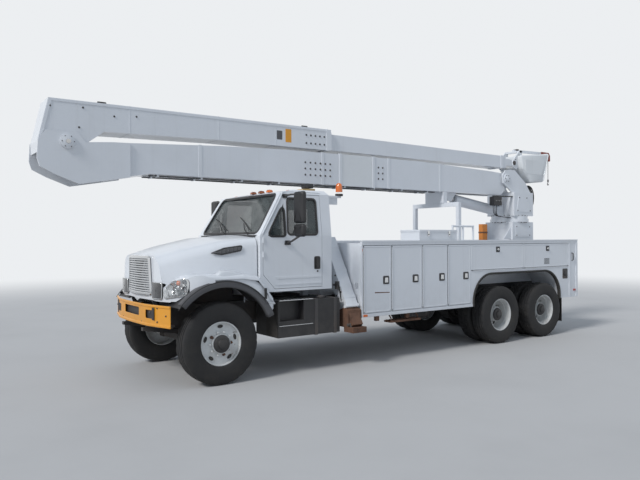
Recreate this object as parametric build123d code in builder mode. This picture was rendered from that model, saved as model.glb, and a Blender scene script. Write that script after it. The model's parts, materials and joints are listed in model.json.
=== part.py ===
from build123d import *
import os

os.makedirs("parts", exist_ok=True)

# Millimetres. The truck faces -Y, its left side is +X and the road is Z = 0.
# Outlines and blocks give Y as the distance behind the front axle.
front_axle_y = -3400

# Clearances
skin_gap = 6  # between a door or lid and its opening
hinge_radius = 6  # from a hinge's axis to the faces that it lies on
hinge_leaf = 3
running_gap = 0.3  # round a pin, spindle or rod in its bore
joint_gap = 8  # between moving pieces side by side

# Wheels and axles
front_wheel_z = 544
rear_wheel_z = 522
front_tyre_radius = 544
rear_tyre_radius = 522
tyre_width = 290
rim_radius = 286
rim_wall = 10
front_wheel_x = 1010
rear_wheel_x = 945
twin_spacing = 330
rear_axle_ys = (5588, 6903)
spindle_radius = 42
hub_radius = 130
kingpin_radius = 22
kingpin_x = 800
beam_half_height = 45

# Chassis
rail_x = 430
rail_width = 80
rail_z = (745, 1015)
rail_wall = 10
rail_front = -560
rail_rear = 7950

# Hood
hood_pivot = (-650, 1085)
hood_pin_radius = 12
hood_foot = 1105
wing_x = 1215
wing_gap = 30  # between a wing and the cab's side
hood_wall = 18
hood_rear = 640
arch_radius = 735

# Cab
cab_half_width = 1000
cab_roof_half_width = 930
cab_wall = 40
cab_floor_z = 1170
cab_front = 660
cab_rear = 1900
belt_z = 1965
roof_z = 2640
glass_depth = 15
glass_thickness = 6
door_front = 712
door_rear = 1720
door_hinge_radius = 10
door_hinge_zs = (1660, 1860)

# Body
body_front = 2305
body_rear = 8047
body_x = (620, 1220)
body_z = (718, 1848)
body_wall = 25
deck_z = 1270
deck_thickness = 20
arch_front = 4850
arch_rear = 7420
arch_z = 1270
arch_corner = 480
upright_seams = (2330, 2910, 3586, 4187, 4782)
flat_seams = (4782, 6270, 7739)
upright_door_z = (770, 1815)
flat_door_z = (1345, 1815)

# Aerial device
slew_y = 7450
pedestal_half_width = 350
pedestal_top = 2260
ring_radius = 400
ring_z = (2260, 2325)
turret_ring_z = (ring_z[1] + running_gap, 2390)
turret_y = (7160, 7800)
turret_half_width = 350
ear_x = (262, 290)
lower_pin = (7000, 3160)
ear_foot = 275  # from the turret's top up to the lower boom's pin
turret_top = lower_pin[1] - ear_foot
lower_pin_radius = 45
lower_boom_x = 225
lower_boom_foot = 2815
boom_wall = 12
cheek_thickness = 25
elbow_pin = (-1700, 3160)
elbow_pin_radius = 50
upper_boom_x = 215
insulator_x = 165
tip_pin = (7370, 3520)
tip_pin_radius = 30
barrel_pin = (7000, lower_boom_foot - 315)
rod_eye = (5500, lower_boom_foot - 95)
barrel_radius = 105
rod_radius = 52
eye_radius = 60
eye_half_width = 42
bucket_x = 305
bucket_wall = 8

# Outriggers
outrigger_y = (2050, 2270)
outrigger_wall = 12
leg_gap = 4


def block(x, y, z, mode=Mode.ADD):
    # a block between its two ends across, behind the front axle and up
    with Locations(((x[0] + x[1]) / 2, front_axle_y + (y[0] + y[1]) / 2, (z[0] + z[1]) / 2)):
        Box(abs(x[1] - x[0]), abs(y[1] - y[0]), abs(z[1] - z[0]), mode=mode)


def side_outline(points, x, mode=Mode.ADD):
    # a side view outline, from x[0] across to x[1]
    plane = Plane((x[0], front_axle_y, 0), x_dir=(0, 1, 0), z_dir=(1, 0, 0))
    with BuildSketch(plane) as outline:
        with BuildLine():
            Polyline(*points, close=True)
        make_face()
    extrude(outline.sketch, amount=x[1] - x[0], mode=mode)


def front_outline(points, y, mode=Mode.ADD):
    # a front view outline, from y[0] back to y[1]
    plane = Plane((0, front_axle_y + y[0], 0), x_dir=(1, 0, 0), z_dir=(0, -1, 0))
    with BuildSketch(plane) as outline:
        with BuildLine():
            Polyline(*points, close=True)
        make_face()
    extrude(outline.sketch, amount=y[0] - y[1], mode=mode)


def plan_outline(points, z, mode=Mode.ADD):
    # a plan view outline, from z[0] up to z[1]
    with BuildSketch(Plane((0, front_axle_y, z[0]))) as outline:
        with BuildLine():
            Polyline(*points, close=True)
        make_face()
    extrude(outline.sketch, amount=z[1] - z[0], mode=mode)


def cross_bar(radius, x, y, z, mode=Mode.ADD):
    # a round bar across the truck
    with BuildSketch(Plane((x[0], front_axle_y + y, z), x_dir=(0, 1, 0), z_dir=(1, 0, 0))) as section:
        Circle(radius)
    extrude(section.sketch, amount=x[1] - x[0], mode=mode)


def rod(start, end, radius, mode=Mode.ADD):
    # a round bar between two points
    first = Vector(*start) + Vector(0, front_axle_y, 0)
    last = Vector(*end) + Vector(0, front_axle_y, 0)
    with BuildSketch(Plane(first, z_dir=last - first)) as section:
        Circle(radius)
    extrude(section.sketch, amount=(last - first).length, mode=mode)


def save(part, name):
    part.label = name
    export_step(part, f"parts/{name}.step")


def save_pair(part, name):
    # a left-hand piece and its mirror image
    save(part, f"{name}_left")
    save(mirror(part, about=Plane.YZ), f"{name}_right")


# Chassis frame
with BuildPart() as frame:
    for side in (1, -1):
        web = (side * (rail_x - rail_wall), side * rail_x)
        block(web, (rail_front, rail_rear), rail_z)
        for flange_z in ((rail_z[0], rail_z[0] + rail_wall), (rail_z[1] - rail_wall, rail_z[1])):
            block((side * (rail_x - rail_width), side * rail_x), (rail_front, rail_rear), flange_z)
    for member_y in (-520, 1700, 2900, 4300, 5150, 6245, 7300, 7900):
        member = (member_y - 30, member_y + 30)
        block((rail_wall - rail_x, rail_x - rail_wall), member, (rail_z[0] + 130, rail_z[1] - 20))
    # Hood hinge plates with their pins, in front of the first cross-member
    for side in (1, -1):
        plate_x = (side * 400, side * 420)
        side_outline([(-550, 890), (-550, 990), (-636, 1097), (-666, 1092), (-660, 1060), (-590, 890)], plate_x)
        cross_bar(18, plate_x, *hood_pivot)
        cross_bar(hood_pin_radius, (side * 378, side * 420), *hood_pivot)
    # Tow plate behind the last cross-member
    block((-rail_x, rail_x), (rail_rear, rail_rear + 20), (rail_z[0] - 120, rail_z[1]))
    tow_hole_spacing_x = 86
    tow_hole_spacing_z = 44
    tow_hole_radius = 7
    tow_z = 760
    for hole_x in (-tow_hole_spacing_x / 2, tow_hole_spacing_x / 2):
        for hole_z in (tow_z - tow_hole_spacing_z / 2, tow_z + tow_hole_spacing_z / 2):
            hole_start = (hole_x, rail_rear - 5, hole_z)
            rod(hole_start, (hole_x, rail_rear + 25, hole_z), tow_hole_radius, mode=Mode.SUBTRACT)
save(frame.part, "frame")

# Propeller shaft, on a line from the gearbox to the first rear axle's centre
gearbox_end = (1350, 815)
pinion_reach = 240
shaft = Vector(rear_axle_ys[0] - gearbox_end[0], rear_wheel_z - gearbox_end[1]).normalized()
pinion_end = (rear_axle_ys[0] - shaft.X * pinion_reach, rear_wheel_z - shaft.Y * pinion_reach)

# Axles and springs
with BuildPart() as running_gear:
    # Front beam with its kingpin eyes and springs
    beam_z = (front_wheel_z - 70 - beam_half_height, front_wheel_z - 70 + beam_half_height)
    block((-kingpin_x + 75, kingpin_x - 75), (-55, 55), beam_z)
    for side in (1, -1):
        boss_z = (front_wheel_z - 75, front_wheel_z + 45)
        block((side * (kingpin_x - 80), side * kingpin_x), (-48, 48), boss_z)
        rod((side * kingpin_x, 0, boss_z[0]), (side * kingpin_x, 0, boss_z[1]), 48)
        rod((side * kingpin_x, 0, 400), (side * kingpin_x, 0, 700), kingpin_radius + running_gap, mode=Mode.SUBTRACT)
        block((side * 352, side * 428), (-60, 60), (beam_z[1], 640))
        spring = [(-800, 700), (-400, 640), (0, 610), (400, 640), (800, 700), (800, 745), (720, 745),
                  (400, 690), (0, 665), (-400, 690), (-720, 745), (-800, 745)]
        side_outline(spring, (side * 355, side * 425))
    # Rear axles, each a tube with a final drive housing, under one spring pack a side
    for axle_y in rear_axle_ys:
        cross_bar(75, (-700, 700), axle_y, rear_wheel_z)
        cross_bar(185, (-105, 105), axle_y, rear_wheel_z)
        cross_bar(120, (-210, 210), axle_y, rear_wheel_z)
        for side in (1, -1):
            spindle_end = side * (rear_wheel_x + twin_spacing / 2 + 40)
            cross_bar(spindle_radius, (side * 700, spindle_end), axle_y, rear_wheel_z)
            block((side * 352, side * 428), (axle_y - 80, axle_y + 80), (rear_wheel_z, 660))
    rod((0, rear_axle_ys[0], rear_wheel_z), (0, pinion_end[0], pinion_end[1]), 60)
    rod((0, rear_axle_ys[0], rear_wheel_z), (0, rear_axle_ys[1], rear_wheel_z), 40)
    middle_y = sum(rear_axle_ys) / 2
    for side in (1, -1):
        spring = [(rear_axle_ys[0] - 90, 650), (rear_axle_ys[1] + 90, 650), (rear_axle_ys[1] + 90, 690),
                  (middle_y + 150, 720), (middle_y + 110, 745), (middle_y - 110, 745), (middle_y - 150, 720),
                  (rear_axle_ys[0] - 90, 690)]
        side_outline(spring, (side * 355, side * 425))
save(running_gear.part, "running_gear")

# Engine, gearbox and propeller shaft
with BuildPart() as driveline:
    block((-290, 290), (-300, 600), (700, 1500))
    for side in (1, -1):
        block((side * 290, side * (rail_x - rail_width)), (0, 200), (rail_z[0] + 40, rail_z[1] - 20))
    block((-180, 180), (600, gearbox_end[0]), (700, 1080))
    rod((0, gearbox_end[0], gearbox_end[1]), (0, pinion_end[0], pinion_end[1]), 45)
save(driveline.part, "driveline")

# Bumper: a bent channel with two openings a side
bumper_z = (820, 1090)
bumper_half_width = 1150
bumper_front = -810
bumper_wall = 12
with BuildPart() as bumper:
    outer = [(-bumper_half_width, -640), (-bumper_half_width, -700), (-600, bumper_front), (600, bumper_front),
             (bumper_half_width, -700), (bumper_half_width, -640)]
    inner = [(bumper_half_width - 12, -640), (bumper_half_width - 12, -692), (598, bumper_front + bumper_wall),
             (-598, bumper_front + bumper_wall), (12 - bumper_half_width, -692), (12 - bumper_half_width, -640)]
    plan_outline(outer + inner, bumper_z)
    for side in (1, -1):
        for slot_x in ((520, 860), (900, 1010)):
            block((side * slot_x[0], side * slot_x[1]), (-830, -650), (905, 1010), mode=Mode.SUBTRACT)
        block((side * 345, side * 395), (bumper_front + bumper_wall, -550), (860, 1000))
save(bumper.part, "bumper")


def cab_volume(inset):
    # the cab's outer form, drawn in by an inset on every side
    side_view = [(cab_front, cab_floor_z), (cab_front, belt_z), (1050, roof_z - 45), (1300, roof_z),
                 (cab_rear - 40, roof_z), (cab_rear, roof_z - 60), (cab_rear, cab_floor_z)]
    front_view = [(cab_half_width, cab_floor_z), (cab_half_width, belt_z), (cab_roof_half_width, roof_z - 60),
                  (cab_roof_half_width - 70, roof_z), (70 - cab_roof_half_width, roof_z),
                  (-cab_roof_half_width, roof_z - 60), (-cab_half_width, belt_z), (-cab_half_width, cab_floor_z)]
    with BuildPart() as volume:
        with BuildSketch(Plane((0, front_axle_y, 0), x_dir=(0, 1, 0), z_dir=(1, 0, 0))) as side_sketch:
            with BuildLine():
                Polyline(*side_view, close=True)
            make_face()
            if inset:
                offset(amount=-inset, kind=Kind.INTERSECTION, mode=Mode.REPLACE)
        extrude(side_sketch.sketch, amount=cab_half_width + 10, both=True)
        with BuildSketch(Plane((0, front_axle_y + cab_front - 20, 0), x_dir=(1, 0, 0), z_dir=(0, -1, 0))) as front_sketch:
            with BuildLine():
                Polyline(*front_view, close=True)
            make_face()
            if inset:
                offset(amount=-inset, kind=Kind.INTERSECTION, mode=Mode.REPLACE)
        extrude(front_sketch.sketch, amount=cab_front - cab_rear - 40, mode=Mode.INTERSECT)
    return volume.part


cab_outer = cab_volume(0)
cab_inner = cab_volume(cab_wall)
glass_outer = cab_volume(glass_depth)
glass_inner = cab_volume(glass_depth + glass_thickness)
door_view = [(900, 1215), (door_rear, 1215), (door_rear, 2560), (1080, 2560), (door_front, 1965), (door_front, 1420)]
window_views = ([(1130, 1985), (1640, 1985), (1640, 2500), (1150, 2500)],
                [(790, 1960), (1080, 1960), (1080, 2430)])
windscreen_view = [(-880, 2010), (880, 2010), (830, 2560), (-830, 2560)]
rear_window_view = [(-420, 1960), (420, 1960), (420, 2400), (-420, 2400)]


def grown(points, amount):
    # an outline drawn out by an amount on every side
    with BuildSketch() as outline:
        with BuildLine():
            Polyline(*points, close=True)
        make_face()
        offset(amount=amount, kind=Kind.INTERSECTION, mode=Mode.REPLACE)
    return [(corner.X, corner.Y) for corner in outline.sketch.faces()[0].outer_wire().vertices()]


# Cab shell with its door openings and windows cut
with BuildPart() as cab_shell:
    add(cab_outer)
    add(cab_inner, mode=Mode.SUBTRACT)
    for side in (1, -1):
        side_outline(grown(door_view, skin_gap), (side * 850, side * 1100), mode=Mode.SUBTRACT)
    front_outline(windscreen_view, (cab_front - 10, cab_front + 420), mode=Mode.SUBTRACT)
    front_outline(rear_window_view, (cab_rear - 60, cab_rear + 10), mode=Mode.SUBTRACT)
    # Mounts down to the frame
    for side in (1, -1):
        for mount_y in (760, 1760):
            block((side * 350, side * 430), (mount_y, mount_y + 100), (rail_z[1], cab_floor_z))
save(cab_shell.part, "cab_shell")

# Windscreen and rear window
with BuildPart() as cab_glass:
    add(glass_outer)
    add(glass_inner, mode=Mode.SUBTRACT)
    with BuildPart(mode=Mode.PRIVATE) as windows:
        front_outline(windscreen_view, (cab_front - 10, cab_front + 420))
        front_outline(rear_window_view, (cab_rear - 60, cab_rear + 10))
    add(windows.part, mode=Mode.INTERSECT)
save(cab_glass.part, "cab_glass")

# Cab doors, as thick as the cab's wall
with BuildPart() as door:
    add(cab_outer)
    add(cab_inner, mode=Mode.SUBTRACT)
    side_outline(door_view, (850, 1100), mode=Mode.INTERSECT)
    for view in window_views:
        side_outline(view, (850, 1100), mode=Mode.SUBTRACT)
    # Two outside hinges on the front edge
    axis_x = cab_half_width + door_hinge_radius
    axis_y = door_front - skin_gap
    for hinge_z in door_hinge_zs:
        rod((axis_x, axis_y, hinge_z), (axis_x, axis_y, hinge_z + 80), door_hinge_radius - running_gap)
        block((cab_half_width, cab_half_width + 4), (axis_y + 3.5, axis_y + 40), (hinge_z, hinge_z + 80))
save_pair(door.part, "door")

with BuildPart() as door_glass:
    add(glass_outer)
    add(glass_inner, mode=Mode.SUBTRACT)
    with BuildPart(mode=Mode.PRIVATE) as panes:
        for view in window_views:
            side_outline(view, (850, 1100))
    add(panes.part, mode=Mode.INTERSECT)
save_pair(door_glass.part, "door_glass")

# Mirrors, each on two arms from its door
with BuildPart() as mirror_head:
    block((1190, 1430), (1080, 1150), (1945, 2580))
    rod((cab_half_width + 8, 1110, 1862), (1300, 1110, 1950), 14)
    rod((945, 1110, 2535), (1195, 1110, 2535), 14)
    block((cab_half_width, cab_half_width + 12), (1060, 1160), (1830, 1895))
save_pair(mirror_head.part, "mirror")

# Dash, steering wheel and two seats, inside the cab
with BuildPart() as cab_interior:
    inner_floor = cab_floor_z + cab_wall
    dash_half_width = cab_half_width - cab_wall - 60
    block((-dash_half_width, dash_half_width), (cab_front + cab_wall, 960), (1450, 1880))
    rod((420, 955, 1755), (420, 1043, 1843), 25)
    with Locations(Plane((420, front_axle_y + 1040, 1840), x_dir=(1, 0, 0), z_dir=(0, 1, 1))):
        Torus(205, 16)
        Box(380, 40, 20)
    for seat_x in (420, -420):
        block((seat_x - 250, seat_x + 250), (1180, 1640), (inner_floor, 1560))
        seat_back = [(1600, 1560), (1640, 1500), (1800, 2150), (1690, 2150)]
        side_outline(seat_back, (seat_x - 240, seat_x + 240))
save(cab_interior.part, "cab_interior")

# Hood: bonnet and wings in one shell, open below

def hood_volume(inset):
    # bonnet and wings, drawn in by an inset
    with BuildPart() as volume:
        bonnet = [(-640 + inset, hood_foot), (-660 + inset, 1640), (-560 + inset, 1730 - inset), (0, 1850 - inset),
                  (hood_rear, 1950 - inset), (hood_rear, hood_foot)]
        side_outline(bonnet, (-980 + inset, 980 - inset))
        plan = [(-500, -700), (500, -700), (700 - inset, -400), (960 - inset, hood_rear), (-960 + inset, hood_rear),
                (inset - 700, -400)]
        plan_outline(plan, (hood_foot, 2000), mode=Mode.INTERSECT)
        for side in (1, -1):
            wing = [(-660 + inset, hood_foot + 20), (-620 + inset, 1330 - inset), (-300, 1450 - inset), (260, 1450 - inset),
                    (560 - inset, 1330 - inset), (800 - inset, 1010), (760 - inset, 940), (hood_rear, 940),
                    (hood_rear, 1060)]
            side_outline(wing, (side * 560, side * (wing_x - inset)))
        # The inboard part of each wing stops at the cab's front
        cab_side = cab_half_width + wing_gap - inset
        block((-cab_side, cab_side), (hood_rear, 900), (900, 1500), mode=Mode.SUBTRACT)
    return volume.part


with BuildPart() as hood:
    add(hood_volume(0))
    add(hood_volume(hood_wall), mode=Mode.SUBTRACT)
    block((-1100, 1100), (-600, hood_rear - hood_wall), (900, hood_foot + 10), mode=Mode.SUBTRACT)
    for side in (1, -1):
        cross_bar(arch_radius, (side * 600, side * 1300), 0, front_wheel_z, mode=Mode.SUBTRACT)
        lug_x = (side * 382, side * 397)
        side_outline([(-632, 1110), (-640, 1180), (-600, 1150), (-628, 1085), (-672, 1085)], lug_x)
        cross_bar(22, lug_x, *hood_pivot)
        cross_bar(hood_pin_radius + running_gap, (side * 370, side * 399), *hood_pivot, mode=Mode.SUBTRACT)
save(hood.part, "hood")

# Grille and head lamps on the hood's nose
with BuildPart() as nose_trim:
    front_outline([(-440, 1190), (440, 1190), (400, 1640), (-400, 1640)], (-700, -600))
    add(hood_volume(0), mode=Mode.SUBTRACT)
    for bar in range(6):
        bar_z = 1240 + bar * 66
        block((-390, 390), (-710, -690), (bar_z, bar_z + 36), mode=Mode.SUBTRACT)
save(nose_trim.part, "nose_trim")

# Tank and steps below each door
with BuildPart() as tanks:
    for side in (1, -1):
        block((side * 520, side * 1130), (870, 1950), (530, 1040))
        block((side * 1000, side * 1150), (900, 1300), (760, 1080), mode=Mode.SUBTRACT)
        for strap_y in (1000, 1700):
            block((side * rail_x, side * 520), (strap_y, strap_y + 80), (rail_z[0] + 20, rail_z[1] - 20))
save(tanks.part, "tanks")

# Side packs: open lockers between walls, with an arch over the rear wheels
with BuildPart() as body_side:
    block(body_x, (body_front, body_rear), body_z)
    with BuildSketch(Plane((body_x[0] - 10, front_axle_y, 0), x_dir=(0, 1, 0), z_dir=(1, 0, 0))) as arch:
        with BuildLine():
            Polyline((arch_front, body_z[0] - 10), (arch_front, arch_z), (arch_rear, arch_z), (arch_rear, body_z[0] - 10),
                     close=True)
        make_face()
        fillet(arch.vertices().group_by(Axis.Y)[-1], arch_corner)
    extrude(arch.sketch, amount=body_x[1] - body_x[0] + 20, mode=Mode.SUBTRACT)
    inside_x = (body_x[0] + body_wall, body_x[1] + 10)
    for first, last in zip(upright_seams, upright_seams[1:]):
        block(inside_x, (first + body_wall / 2, last - body_wall / 2), upright_door_z, mode=Mode.SUBTRACT)
    for first, last in zip(flat_seams, flat_seams[1:]):
        block(inside_x, (first + body_wall / 2, last - body_wall / 2), flat_door_z, mode=Mode.SUBTRACT)
save_pair(body_side.part, "body")

# Locker doors, flush in their openings
locker_doors = []
for first, last in zip(upright_seams, upright_seams[1:]):
    locker_doors.append((first, last, upright_door_z))
for first, last in zip(flat_seams, flat_seams[1:]):
    locker_doors.append((first, last, flat_door_z))
door_edge = body_wall / 2 + skin_gap
hinge_edge = body_wall / 2
leaf_edge = hinge_edge + 2
hinge_x = body_x[1] + hinge_radius
leaf_x = (body_x[1], body_x[1] + hinge_leaf)
leaf_width = 32
hinge_inset = 30
for number, (first, last, door_z) in enumerate(locker_doors, start=1):
    with BuildPart() as locker_door:
        door_y = (first + door_edge, last - door_edge)
        panel_z = (door_z[0] + skin_gap, door_z[1] - skin_gap)
        block((body_x[1] - body_wall, body_x[1]), door_y, panel_z)
        if door_z == upright_door_z:
            hinge_z = (panel_z[0] + hinge_inset, panel_z[1] - hinge_inset)
            rod((hinge_x, first + hinge_edge, hinge_z[0]), (hinge_x, first + hinge_edge, hinge_z[1]),
                hinge_radius - running_gap)
            block(leaf_x, (first + leaf_edge, first + leaf_edge + leaf_width), hinge_z)
        else:
            hinge_z = door_z[0]
            hinge_y = (door_y[0] + hinge_inset, door_y[1] - hinge_inset)
            rod((hinge_x, hinge_y[0], hinge_z), (hinge_x, hinge_y[1], hinge_z), hinge_radius - running_gap)
            block(leaf_x, hinge_y, (hinge_z + leaf_edge - hinge_edge, hinge_z + leaf_width))
    save(locker_door.part, f"locker_door_left_{number}")
    save(mirror(locker_door.part, about=Plane.YZ), f"locker_door_right_{number}")

# Load floor between the side packs, on sills along the rails
with BuildPart() as deck:
    block((-body_x[0], body_x[0]), (body_front, body_rear), (deck_z - deck_thickness, deck_z))
    for side in (1, -1):
        block((side * 345, side * rail_x), (body_front, body_rear - 60), (rail_z[1], deck_z - deck_thickness))
    for end_y in ((body_front, body_front + 25), (body_rear - 25, body_rear)):
        block((-body_x[0], body_x[0]), end_y, (deck_z, body_z[1] - 100))
save(deck.part, "deck")

# Pedestal with the fixed half of the slewing ring
with BuildPart() as pedestal:
    pedestal_y = (slew_y - pedestal_half_width, slew_y + pedestal_half_width)
    block((-pedestal_half_width, pedestal_half_width), pedestal_y, (deck_z, pedestal_top))
    with BuildSketch(Plane((0, front_axle_y + slew_y, ring_z[0]))) as ring:
        Circle(ring_radius)
    extrude(ring.sketch, amount=ring_z[1] - ring_z[0])
save(pedestal.part, "pedestal")

# Boom rest, chest and hoop guard
rest_y = 5200
with BuildPart() as boom_rest:
    for side in (1, -1):
        block((side * 535, side * 605), (rest_y - 35, rest_y + 35), (deck_z, 2600))
    block((-605, 605), (rest_y - 35, rest_y + 35), (2520, 2600))
    block((-240, 240), (rest_y - 50, rest_y + 50), (2600, lower_boom_foot - 5))
    block((700, 1150), (3600, 4500), (body_z[1], 2050))
    for hoop_y in (4560, 4830, 5100):
        rod((1000, hoop_y, body_z[1]), (1000, hoop_y, 2150), 18)
    rod((1000, 4560, 2132), (1000, 5100, 2132), 18)
save(boom_rest.part, "boom_rest")

# Front outriggers: a sloped housing a side on one cross-member, and the leg inside it
housing_top = (520, 1900)
housing_foot = (1105, 845)
leg_foot = (1240, 602)
slope = Vector(housing_foot[0] - housing_top[0], 0, housing_foot[1] - housing_top[1]).normalized()


def sloped_box(side, start, end, half_depth, y, mode=Mode.ADD):
    # a square-ended box down the slope, seen from the front
    along = Vector(end[0] - start[0], end[1] - start[1]).normalized()
    square = Vector(along.Y, -along.X) * half_depth
    corners = [(start[0] + square.X, start[1] + square.Y), (end[0] + square.X, end[1] + square.Y),
               (end[0] - square.X, end[1] - square.Y), (start[0] - square.X, start[1] - square.Y)]
    front_outline([(side * x, z) for x, z in corners], y, mode=mode)


housing_half_depth = 95
with BuildPart() as outrigger_housings:
    for side in (1, -1):
        sloped_box(side, housing_top, housing_foot, housing_half_depth, outrigger_y)
    block((-500, 500), outrigger_y, (rail_z[1], 1250))
    for side in (1, -1):
        block((side * 500, side * 860), outrigger_y, (1100, 1250))
        inside_y = (outrigger_y[0] + outrigger_wall, outrigger_y[1] - outrigger_wall)
        sloped_box(side, housing_top, (leg_foot[0], leg_foot[1]), housing_half_depth - outrigger_wall, inside_y,
                   mode=Mode.SUBTRACT)
save(outrigger_housings.part, "outrigger_housings")

with BuildPart() as outrigger_leg:
    leg_y = (outrigger_y[0] + outrigger_wall + leg_gap, outrigger_y[1] - outrigger_wall - leg_gap)
    leg_start = (housing_top[0] + slope.X * 60, housing_top[1] + slope.Z * 60)
    sloped_box(1, leg_start, leg_foot, housing_half_depth - outrigger_wall - leg_gap, leg_y)
    # Its head runs on the housing's walls
    head_end = (leg_start[0] + slope.X * 80, leg_start[1] + slope.Z * 80)
    head_y = (outrigger_y[0] + outrigger_wall + running_gap, outrigger_y[1] - outrigger_wall - running_gap)
    sloped_box(1, leg_start, head_end, housing_half_depth - outrigger_wall - running_gap, head_y)
    block((1130, 1350), (outrigger_y[0] - 20, outrigger_y[1] + 20), (520, 600))
save_pair(outrigger_leg.part, "outrigger_leg")

# Lamps and the beacon
with BuildPart() as lamps:
    for lamp_x in (-800, -250, 0, 250, 800):
        block((lamp_x - 45, lamp_x + 45), (1240, 1300), (roof_z, roof_z + 40))
    block((560, 780), (1640, 1760), (roof_z, roof_z + 120))
    block((860, 900), (cab_rear, 2180), (2520, 2560))
    rod((880, 2140, 2560), (880, 2140, 2790), 60)
    for side in (1, -1):
        block((side * 1060, side * 1200), (body_rear, body_rear + 30), (1200, 1500))
save(lamps.part, "lamps")

# Mud flaps
with BuildPart() as mudflaps:
    for side in (1, -1):
        block((side * 830, side * 1120), (858, 870), (540, 1035))
        block((side * 640, side * 1210), (7500, 7515), (250, body_z[0]))
save(mudflaps.part, "mudflaps")

# Steering knuckle: kingpin, yoke and wheel spindle
with BuildPart() as knuckle:
    rod((kingpin_x, 0, front_wheel_z - 130), (kingpin_x, 0, front_wheel_z + 100), kingpin_radius)
    block((kingpin_x - 50, kingpin_x + 100), (-55, 55), (front_wheel_z - 130, front_wheel_z - 75 - joint_gap))
    block((kingpin_x - 50, kingpin_x + 100), (-55, 55), (front_wheel_z + 45 + joint_gap, front_wheel_z + 100))
    block((kingpin_x + 60, kingpin_x + 100), (-55, 55), (front_wheel_z - 130, front_wheel_z + 100))
    cross_bar(spindle_radius, (kingpin_x + 100, front_wheel_x + 130), 0, front_wheel_z)
    # Steering arm to the rear
    block((kingpin_x - 20, kingpin_x + 20), (40, 230), (front_wheel_z - 125, front_wheel_z - 95))
save_pair(knuckle.part, "knuckle")


def wheel_plane(x, y, z):
    # the radial section of a wheel: along its axle, then out from it
    return Plane((x, front_axle_y + y, z), x_dir=(1, 0, 0), z_dir=(0, -1, 0))


def tyre_section(middle):
    # bead, sidewall, shoulder and tread of one tyre, as (along the axle, share of its height)
    half = tyre_width / 2
    return [(middle - half + 35, 0), (middle - half, 0.42), (middle - half + 12, 0.88), (middle - half + 35, 1),
            (middle + half - 35, 1), (middle + half - 12, 0.88), (middle + half, 0.42), (middle + half - 35, 0)]


def tyre(middles, x, y, z, radius):
    with BuildPart() as tyre_part:
        for middle in middles:
            with BuildSketch(wheel_plane(x, y, z)) as section:
                with BuildLine():
                    Polyline(*[(u, rim_radius + h * (radius - rim_radius)) for u, h in tyre_section(middle)], close=True)
                make_face()
            revolve(section.sketch, axis=Axis((x, front_axle_y + y, z), (1, 0, 0)))
    return tyre_part.part


def rim(middles, disc_x, hub_x, x, y, z):
    # wells under the tyres, one disc and a hub on the spindle
    with BuildPart() as rim_part:
        sections = []
        for middle in middles:
            half = tyre_width / 2 - 35
            sections.append([(middle - half, rim_radius), (middle + half, rim_radius),
                             (middle + half, rim_radius - rim_wall), (middle - half, rim_radius - rim_wall)])
        sections.append([(disc_x, hub_radius - 20), (disc_x, rim_radius), (disc_x + 14, rim_radius),
                         (disc_x + 14, hub_radius - 20)])
        sections.append([(hub_x[0], spindle_radius + running_gap), (hub_x[0], hub_radius), (hub_x[1], hub_radius),
                         (hub_x[1], spindle_radius + running_gap)])
        if len(middles) > 1:
            sections.append([(middles[0], rim_radius - rim_wall), (middles[1], rim_radius - rim_wall),
                             (middles[1], rim_radius - 2 * rim_wall), (middles[0], rim_radius - 2 * rim_wall)])
        for points in sections:
            with BuildSketch(wheel_plane(x, y, z)) as section:
                with BuildLine():
                    Polyline(*points, close=True)
                make_face()
            revolve(section.sketch, axis=Axis((x, front_axle_y + y, z), (1, 0, 0)))
    return rim_part.part


# Wheels: single in front, twins on the two rear axles
save_pair(rim([0], 60, (-90, 115), front_wheel_x, 0, front_wheel_z), "rim_front")
save_pair(tyre([0], front_wheel_x, 0, front_wheel_z, front_tyre_radius), "tyre_front")
twins = [-twin_spacing / 2, twin_spacing / 2]
for number, axle_y in enumerate(rear_axle_ys, start=1):
    save_pair(rim(twins, -7, (-160, 190), rear_wheel_x, axle_y, rear_wheel_z), f"rim_rear_{number}")
    save_pair(tyre(twins, rear_wheel_x, axle_y, rear_wheel_z, rear_tyre_radius), f"tyre_rear_{number}")

# Turret: slewing ring, box and the two ears that hold the lower boom's pin
with BuildPart() as turret:
    with BuildSketch(Plane((0, front_axle_y + slew_y, turret_ring_z[0]))) as ring:
        Circle(ring_radius - 20)
    extrude(ring.sketch, amount=turret_ring_z[1] - turret_ring_z[0])
    block((-turret_half_width, turret_half_width), turret_y, (turret_ring_z[1], turret_top))
    ear = [(7160, turret_top), (6890, 3060), (6870, 3230), (6960, 3330), (7100, 3350), (7260, 3350), (7620, 3100),
           (turret_y[1], turret_top)]
    for side in (1, -1):
        side_outline(ear, (side * ear_x[0], side * ear_x[1]))
        cross_bar(lower_pin_radius, (side * (lower_boom_x - 2 * boom_wall), side * ear_x[1]), *lower_pin)
        lug = [(turret_y[0], turret_ring_z[1]), (6950, barrel_pin[1] - 100), (6920, barrel_pin[1] + 60),
               (turret_y[0], turret_ring_z[1] + 230)]
        side_outline(lug, (side * (eye_half_width + 6), side * (eye_half_width + 36)))
    cross_bar(30, (-(eye_half_width + 36), eye_half_width + 36), *barrel_pin)
save(turret.part, "turret")

# Lift cylinder
cylinder = Vector(0, rod_eye[0] - barrel_pin[0], rod_eye[1] - barrel_pin[1])
cylinder_length = cylinder.length
cylinder_way = cylinder.normalized()


def on_cylinder(distance):
    # a point on the cylinder's line, from its pin on the turret
    return (0, barrel_pin[0] + cylinder_way.Y * distance, barrel_pin[1] + cylinder_way.Z * distance)


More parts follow.
